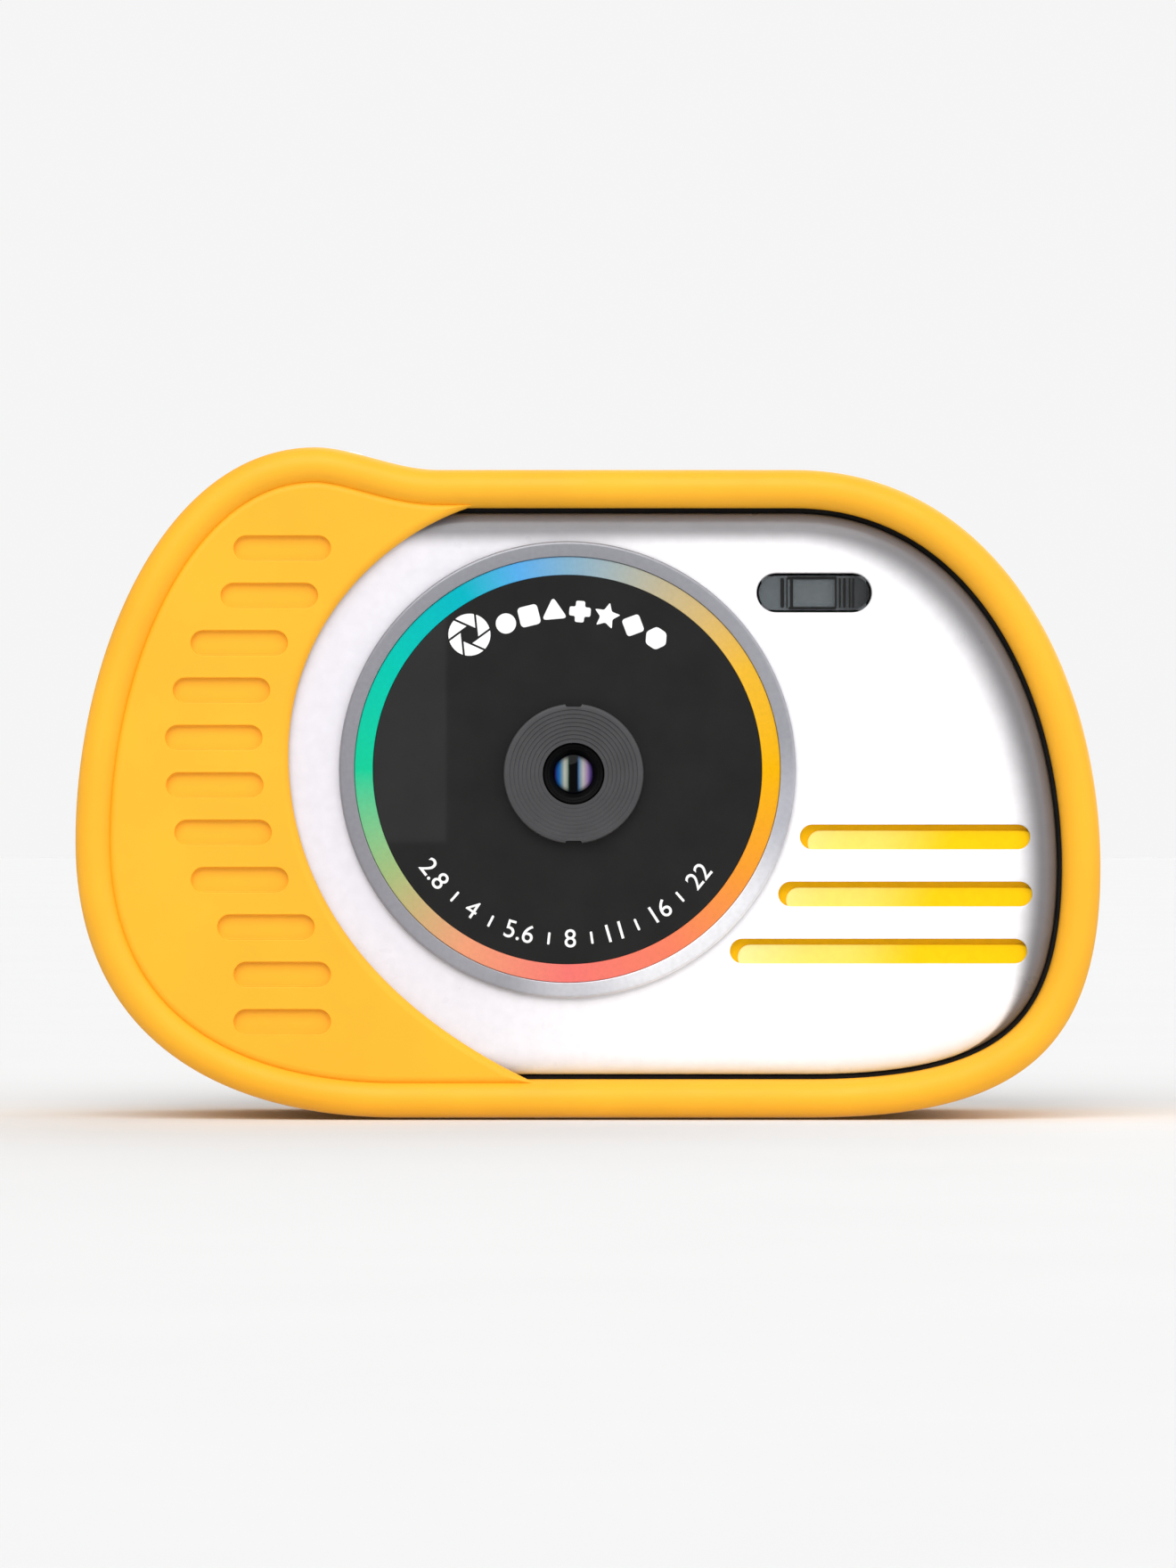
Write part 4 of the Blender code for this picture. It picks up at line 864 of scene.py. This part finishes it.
def lens_hood():
    """Makes the hood, whose steps go down to the lens, with a notch at the top and below."""
    steps, inner, outer, rise, lip = 8, 3.0, 6.2, 0.8, 0.03
    face, edge, seat = HOOD.front, HOOD.width / 2, DISC.front - 0.02
    shoulder, end = -12.0, -14.3
    tread = (outer - inner) / steps
    profile = []
    for step in range(steps):
        radius = inner + tread * step
        depth = face + rise * (1 - step / steps)
        profile += [(radius + lip * 0.2, depth + lip), (radius + lip, depth),
                    (radius + tread - 0.02, depth)]
    profile += [(outer, face + 0.05), (outer + 0.05, face), (edge - 0.25, face),
                (edge - 0.08, face + 0.06), (edge, face + 0.22), (edge, seat), (5.7, seat),
                (5.7, shoulder), (4.5, shoulder), (4.5, end), (inner, end)]
    hood = turned(profile, HOOD.x, HOOD.z, 160, True)
    notches = [slab(rounded_box(HOOD.x, HOOD.z + side * edge, 1.6, 0.6, 0.2, 5), face - 1.0,
                    DISC.front + 0.2) for side in (-1, 1)]
    cut(hood, merged(notches))
    place(hood, "lens_hood_stepped", "grey_plastic", HOOD_GREY, "lens_hood")


def lens_barrel():
    face, flange, back, inside = BARREL.front, -14.0, -12.0, 1.98
    barrel = turned([
        (inside, -13.5), (2.1, -13.75), (2.3, flange), (2.35, -14.2), (2.55, -14.3),
        (2.62, face + 0.03), (2.70, face), (2.85, face), (2.9, face + 0.05), (2.9, flange),
        (4.2, flange), (4.2, BARREL.back), (3.1, BARREL.back), (3.1, back), (inside, back)],
        BARREL.x, BARREL.z, 96, True)
    place(barrel, "lens_tube", "black_plastic", TUBE_BLACK, "lens_barrel")
    radius, bulge, steps = GLASS.width / 2, 0.35, 10
    shares = [step / steps for step in range(steps + 1)]
    front = [(radius * share, GLASS.front + bulge * share ** 2) for share in shares]
    back = [(radius * share, GLASS.back - bulge * share ** 2) for share in shares[::-1]]
    glass = turned(front + back, GLASS.x, GLASS.z, 64)
    place(glass, "front_glass", "lens_glass", glass_painted_reflection(), "front_lens")


def flash():
    """Makes the flash window, with upright ribs over its middle."""
    outline = slot_outline(FLASH.left, FLASH.right, FLASH.z, FLASH.height)
    edge = quarter(0.0, FLASH.front + 0.25, 0.2, -0.25, 4)
    window = flat(outline, [(0.0, FLASH.back)] + edge)
    bars = [(offset, 0.0, width, FLASH.height - 0.5) for offset, width in (
        (-3.1, 0.34), (-2.65, 0.12), (-2.2, 0.28), (2.1, 0.16), (2.5, 0.18), (2.95, 0.26),
        (3.45, 0.16), (3.8, 0.2))]
    bars += [(-0.2, 1.45, 4.8, 0.26), (-0.2, -1.5, 4.6, 0.26)]
    ribs = []
    for across, up, width, height in bars:
        rib = rounded_box(FLASH.x + across, FLASH.z + up, width, height,
                          min(width, height) * 0.45, 4)
        ribs.append(slab(rib, FLASH.front - 0.12, FLASH.front + 0.1))
    for rib in ribs[1:]:
        join(ribs[0], rib)
    place(window, "flash_cover", "clear_window", flash_plastic_painted_shade(), "flash_window")
    place(ribs[0], "flash_ribs", "clear_window", BLACK)


# ---- print on the lens disc

def mark(points):
    """Makes a flat mark on the lens disc, whose back is just inside the disc."""
    return slab(points, DISC.front - PRINT, DISC.front + PRINT)


def on_dial(radius, degrees, points, upside=1):
    """Moves points so that their up points away from the lens ring's middle, or to it."""
    direction = ray(degrees)
    up = direction * upside
    right = Vector((up.y, -up.x))
    middle = Vector((DISC.x, DISC.z)) + direction * radius
    return [middle + right * point.x + up * point.y for point in points]


def shutter_blades(radius, opening, slit):
    """Returns the six blades of an aperture, parted by the drawn-out sides of a hexagon."""
    half = opening / 2
    first = ray(0) * opening
    start = first + ray(60) * (math.sqrt(radius ** 2 - 3 * half ** 2) - half)
    angle = math.degrees(math.atan2(start.y, start.x))
    arc = [ray(angle + 10 * step) * radius for step in range(7)]
    blade = grown([first] + arc + [ray(60) * opening], -slit)
    return [[Matrix.Rotation(math.radians(60 * turn), 2) @ point for point in blade]
            for turn in range(6)]


def spread(widths, radius, first, last):
    """Lays marks of given widths along an arc with equal gaps.

    Returns the angle of each mark and of the middle of each gap, in degrees; first and last
    are where the outer sides of the two end marks come.
    """
    sense = 1 if last > first else -1
    spans = [math.degrees(width / radius) for width in widths]
    gap = (abs(last - first) - sum(spans)) / (len(spans) - 1)
    angles, gaps, at = [], [], first
    for span in spans:
        angles.append(at + sense * span / 2)
        gaps.append(at + sense * (span + gap / 2))
        at += sense * (span + gap)
    return angles, gaps[:-1]


def shape_marks():
    """Returns an aperture and seven simple shapes above the lens."""
    marks = [mark(on_dial(16.2, 126, blade)) for blade in shutter_blades(2.15, 0.85, 0.1)]
    size, radius = 1.04, 15.4
    shapes = [circle(0, 0, size * 0.95, 40),
              soft_polygon(regular(4, size * 1.35, 45), 0.45),
              soft_polygon(regular(3, size * 1.4, 90), 0.5),
              soft_polygon(plus_sign(size, 0.45), 0.22),
              soft_polygon(star(5, size * 1.3, size * 0.62), 0.18),
              soft_polygon(regular(4, size * 1.2, 0), 0.35),
              soft_polygon(regular(6, size * 1.1, 0), 0.3)]
    widths = [max(point.x for point in shape) - min(point.x for point in shape)
              for shape in shapes]
    angles, _ = spread(widths, radius, 116.5, 52.0)
    return marks + [mark(on_dial(radius, degrees, shape))
                    for degrees, shape in zip(angles, shapes)]


def scale_marks():
    """Returns a scale of numbers below the lens, with a tick in each gap."""
    radius = 16.5
    numbers = []
    for number in ("2.8", "4", "5.6", "8", "11", "16", "22"):
        curve = bpy.data.curves.new("number", "FONT")
        curve.body = number
        curve.align_x = curve.align_y = "CENTER"
        curve.size = 2.5 * MM
        curve.offset = 0.01 * MM
        curve.extrude = PRINT * MM
        numbers.append(add_object("number", curve))
    bpy.context.view_layer.update()
    angles, gaps = spread([text.dimensions.x / MM for text in numbers], radius, 213.0, 325.0)
    for degrees, text in zip(angles, numbers):
        middle = Vector((DISC.x, DISC.z)) + ray(degrees) * radius
        text.matrix_world = (Matrix.Translation(Vector((middle.x, DISC.front, middle.y)) * MM)
                             @ Matrix.Rotation(math.pi / 2, 4, "X")
                             @ Matrix.Rotation(math.radians(degrees + 90), 4, "Z"))
    tick = rounded_box(0, 0, 0.24, 1.2, 0.1, 4)
    return numbers + [mark(on_dial(radius, degrees, tick, -1)) for degrees in gaps]


def dial_print():
    place(merged(shape_marks() + scale_marks()), "dial_print", "white_plastic", PRINT_WHITE)


# ---- back

def key_radius(key):
    return key.width / 2 - 0.45


def hole(x, z, radius, floor, lip, steps):
    """Makes the tool of a round hole in the back cover, whose lip is given relative to it."""
    return turned([(radius, floor)] + [(radius + wider, COVER.back + higher)
                                       for wider, higher in lip], x, z, steps)


def back_cover():
    face, shoulder, through = COVER.back, 12.6, 10.0
    inside = HOUSING_INSET + HOUSING_WALL
    crown_inside = COVER_CROWN_INSET + HOUSING_WALL
    cover = flat(case_points, [
        (inside, COVER.front), (HOUSING_INSET, COVER.front), (HOUSING_INSET, shoulder - 0.3),
        (HOUSING_INSET + 0.3, shoulder), (COVER_CROWN_INSET, shoulder)]
        + quarter(COVER_CROWN_INSET, face - 0.7, 0.9, 0.7))
    cut(cover, flat(case_points, [(inside, COVER.front - 1.0), (inside, 11.1),
                                  (crown_inside, 11.2), (crown_inside, 12.8)]))
    screen = box_outline(SCREEN.x, SCREEN.z, SCREEN.width + 0.6, SCREEN.height + 0.6, 3.3)
    tools = [flared(screen, face, 13.8, 0.2)]
    for name in KEY_NAMES:
        key = Extent(name)
        tools.append(hole(key.x, key.z, key_radius(key) + 0.3, through,
                          ((0.0, -0.25), (0.08, -0.08), (0.3, 0.0), (0.5, 0.3)), 64))
    for name in SCREW_NAMES:
        screw = Extent(name)
        tools.append(hole(screw.x, screw.z, 2.25, 13.0,
                          ((0.0, -0.2), (0.05, -0.06), (0.2, 0.0), (0.35, 0.3)), 48))
    speaker, microphone = Extent("speaker"), Extent("microphone")
    light = Extent("status_light")
    small = [(speaker.x + 2.2 * (index - 2), speaker.z, 0.6) for index in range(5)]
    for x, z, radius in small + [(microphone.x, microphone.z, 0.5), (light.x, light.z, 1.1)]:
        tools.append(hole(x, z, radius, through, ((0.0, -0.15), (0.15, 0.0), (0.4, 0.3)), 32))
    cut(cover, merged(tools))
    view = rounded_box(LCD.x, LCD.z, LCD.width - 2.0, LCD.height - 3.5, 1.0)
    cut(cover, slab(view, through, 18.0))
    place(cover, "back_shell", "white_plastic", WHITE, "back_cover")


def screen_window():
    outline = box_outline(SCREEN.x, SCREEN.z, SCREEN.width, SCREEN.height, 3.0)
    edge = quarter(0.0, SCREEN.back - 0.25, 0.25, 0.25, 5)
    window = flat(outline, [(0.0, SCREEN.front)] + edge)
    place(window, "screen_glass", "screen_glass", screen_glass(), "screen_window")


def rear_keys():
    """Makes the keys of the back, each with its icon."""
    icons = {"key_ok": [circle(0, 0, 0.9, 32)],
             "key_mode": [rounded_box(0, z, 2.0, 0.36, 0.17, 4) for z in (-0.65, 0.0, 0.65)],
             "key_play": [soft_polygon(regular(3, 1.0, 180), 0.25)]}
    for name, turn in zip(("key_left", "key_up", "key_right", "key_down"), (0, 90, 180, 270)):
        icons[name] = [soft_polygon(regular(3, 1.15, turn), 0.3)]
    flange, bottom, steps = 12.4, 11.6, 6
    for name in KEY_NAMES:
        key = Extent(name)
        radius, face = key_radius(key), key.back
        dome = [(radius * share, face - 0.18 * share ** 2 - 0.02) for share in
                (0.0, 0.15, 0.3, 0.45, 0.6, 0.75, 0.88)]
        reach, drop = dome[-1]
        shoulder = radius - reach
        rounding = [(radius - shoulder * (1 - math.sin(a)), drop - 0.45 * (1 - math.cos(a)))
                    for a in [math.pi / 2 * step / steps for step in range(1, steps + 1)]]
        profile = dome + rounding + [(radius, flange), (radius + 0.45, flange),
                                     (radius + 0.45, bottom), (0.0, bottom)]
        cap = turned(profile, key.x, key.z, 64)
        place(cap, name + "_cap", "yellow_silicone", SILICONE, name, body=name)
        shapes = [slab([Vector((key.x, key.z)) + point for point in part], face - 0.3,
                       face + 0.01) for part in icons[name]]
        place(merged(shapes), name + "_icon", "yellow_silicone", PRINT_GREY, body=name)


def back_screws():
    for name in SCREW_NAMES:
        screw = Extent(name)
        top, radius = screw.back, screw.width / 2
        head = turned([
            (0.0, top), (radius * 0.5, top - 0.03), (radius * 0.8, top - 0.12),
            (radius * 0.95, top - 0.25), (radius, top - 0.45), (radius, 13.3), (1.0, 13.3),
            (1.0, -2.0), (0.0, -2.8)], screw.x, screw.z, 48)
        cross = [Vector((screw.x, screw.z)) + point for point in plus_sign(1.15, 0.26)]
        cut(head, slab(cross, 13.8, 15.5))
        place(head, name + "_head", "steel", STEEL, name)


# ---- top and side

def top_buttons():
    """Makes the dished shutter button, and the power button with its dot."""
    radius, top, under = SHUTTER.width / 2, SHUTTER.top, 61.9
    dish = [(0.0, 0.12), (0.25, 0.11), (0.5, 0.06), (0.68, 0.0), (0.8, 0.03), (0.9, 0.15),
            (0.96, 0.32), (0.99, 0.52), (1.0, 0.8)]
    shutter = turned_up([(radius * share, top - drop) for share, drop in dish] + [
        (radius, under), (1.5, under), (1.5, SHUTTER.bottom), (0.0, SHUTTER.bottom)],
        SHUTTER.x, SHUTTER.y)
    place(shutter, "shutter_cap", "white_plastic", WHITE, "shutter_button",
          body="shutter_button")

    top = POWER.top
    outline = box_outline(POWER.x, POWER.y, POWER.width, POWER.depth, POWER.depth / 2, 16)
    power = raised(outline, [(0.0, 60.3)] + quarter(0.0, top - 0.5, 0.5, 0.5, 6))
    join(power, turned_up([(1.1, POWER.bottom), (1.1, 60.8)], POWER.x, POWER.y, 32))
    place(power, "power_cap", "white_plastic", WHITE, "power_button", body="power_button")
    dot = turned_up([(0.0, top + 0.02), (0.42, top + 0.02), (0.45, top), (0.45, top - 0.2),
                     (0.0, top - 0.2)], POWER.x, POWER.y, 32)
    place(dot, "power_dot", "yellow_plastic", SILICONE, body="power_button")


def port_door():
    """Makes the side door, with its hinge knuckle below and three finger ribs at the top."""
    bottom, top = 12.7, DOOR.top
    band = wall_band(0.5, 1.9, bottom, top)
    door = bevelled(slab(band, DOOR.front, DOOR.back), 0.3)
    front, back = DOOR.front + 1.3, DOOR.back - 1.3
    arm = [Vector(point) for point in (
        (PIN.x - 0.9, PIN.z), (PIN.x + 0.9, PIN.z), (PIN.x + 1.45, bottom + 0.8),
        (PIN.x + 0.3, bottom + 0.8))]
    join(door, slab(arm, front, back))
    join(door, slab(circle(PIN.x, PIN.z, 1.0, 40), front, back))
    cut(door, slab(circle(PIN.x, PIN.z, 0.65, 32), DOOR.front - 2, DOOR.back + 2))
    place(door, "side_door", "yellow_silicone", SILICONE, "port_door", body="port_door")

    ribs = []
    for index in range(3):
        z = top - 2.6 - 1.3 * index
        strip = wall_band(0.28, 0.8, z - 0.3, z + 0.3)
        ribs.append(bevelled(slab(strip, DOOR.front + 2.0, DOOR.back - 2.0), 0.12, 2))
    place(merged(ribs), "side_door_ribs", "yellow_silicone", SILICONE, body="port_door")


# ---- pieces that keep their shape

def cad_materials():
    """Gives the pieces whose CAD shape shows their materials."""
    looks = {
        BLACK: ["front_housing", "lens_holder", "memory_card"],
        RUBBER: ["housing_gasket", "keypad_membrane", "door_seal"],
        board(): ["sensor_board", "main_board", "top_board", "port_board"],
        CHIP: ["image_sensor", "processor_chip", "memory_chip", "speaker", "lcd_module",
               "shutter_switch", "power_switch"],
        STEEL: ["sensor_screw_1", "sensor_screw_2", "microphone", "usb_socket", "card_socket"],
        PIN_STEEL: ["door_hinge_pin"],
        MIRROR: ["flash_reflector"],
        plain_plastic("led", (196, 190, 160), 0.4, 0.004): ["flash_led"],
        plain_plastic("status_green", (110, 214, 130), 0.2, 0.002): ["status_light"],
        CLEAR: ["inner_lens"],
        WRAP: ["battery"],
        plain_plastic("red_wire", (188, 40, 40), 0.4, 0.004): ["battery_lead"],
    }
    for material, names in looks.items():
        for name in names:
            for slot in frame["nodes"][name].material_slots:
                slot.link = "OBJECT"
                slot.material = material


# ---- camera and light

def look_at(thing, target):
    direction = Vector(target) * MM - thing.location
    thing.rotation_mode = "QUATERNION"
    thing.rotation_quaternion = direction.to_track_quat("-Z", "Y")


def camera():
    """Looks straight at the front, from far enough that the view is nearly parallel."""
    lens, sensor, tall, aim, plane = 200.0, 36.0, 153.4, 32.6, -9.0
    data = bpy.data.cameras.new("camera")
    data.lens = lens
    data.sensor_width = sensor
    data.clip_start, data.clip_end = 0.01, 10.0
    eye = add_object("camera", data)
    eye.location = Vector((0.0, plane - lens * tall / sensor, aim)) * MM
    look_at(eye, (0.0, 0.0, aim))
    bpy.context.scene.camera = eye


def sun(name, towards, share, width):
    """Adds an even light; share is what a white surface that faces it sends back."""
    data = bpy.data.lights.new(name, "SUN")
    data.energy = share * math.pi
    data.angle = math.radians(width)
    lamp = add_object(name, data)
    lamp.location = Vector(towards).normalized()
    look_at(lamp, (0.0, 0.0, 0.0))


def lights():
    """Adds three even lights, and a small card in front that only gloss shows."""
    sun("key", (-0.15, -0.70, 0.68), 0.60, 50.0)
    sun("fill", (0.70, -0.50, 0.42), 0.24, 60.0)
    sun("back", (0.40, 0.72, 0.50), 0.32, 60.0)
    data = bpy.data.lights.new("card", "AREA")
    data.shape = "RECTANGLE"
    data.size, data.size_y = 8.0 * MM, 26.0 * MM
    data.energy = 0.0006
    card = add_object("card", data)
    card.location = Vector((-19.4, -115.0, 39.3)) * MM
    card.rotation_euler = (math.radians(90), 0.0, 0.0)
    card.visible_camera = card.visible_diffuse = False


def world(light=0.50, sight=0.915):
    """Makes a pale, even surround, a little dimmer as light than as seen."""
    surround = bpy.data.worlds.new("surround")
    surround.use_nodes = True
    tree = surround.node_tree
    mix = tree.nodes.new("ShaderNodeMixShader")
    path = tree.nodes.new("ShaderNodeLightPath")
    tree.links.new(path.outputs["Is Camera Ray"], mix.inputs["Fac"])
    backgrounds = tree.nodes.new("ShaderNodeBackground"), tree.nodes["Background"]
    for socket, (node, strength) in enumerate(zip(backgrounds, (light, sight)), 1):
        node.inputs["Color"].default_value = (1.0, 1.0, 1.0, 1.0)
        node.inputs["Strength"].default_value = strength
        tree.links.new(node.outputs[0], mix.inputs[socket])
    tree.links.new(mix.outputs[0], tree.nodes["World Output"].inputs["Surface"])
    bpy.context.scene.world = surround
    bpy.context.scene.view_settings.view_transform = "Standard"


def floor():
    size, below = 3000.0, -0.05
    corners = [(-size, -size, below), (size, -size, below), (size, size, below),
               (-size, size, below)]
    mesh = bpy.data.meshes.new("floor")
    mesh.from_pydata([Vector(corner) * MM for corner in corners], [], [(0, 1, 2, 3)])
    ground = add_object("floor", mesh)
    look = Surface("floor", (229.2, 229.2, 229.2), 0.9, Specular_IOR_Level=0.1)
    mesh.materials.append(look.tones(40.0, 0.01).material)
    ground.visible_glossy = False


for build in (silicone_case, front_plate, stripe_insert, lens_ring, lens_disc, lens_hood,
              lens_barrel, flash, dial_print, back_cover, screen_window, rear_keys, back_screws,
              top_buttons, port_door, cad_materials, camera, lights, world, floor):
    build()
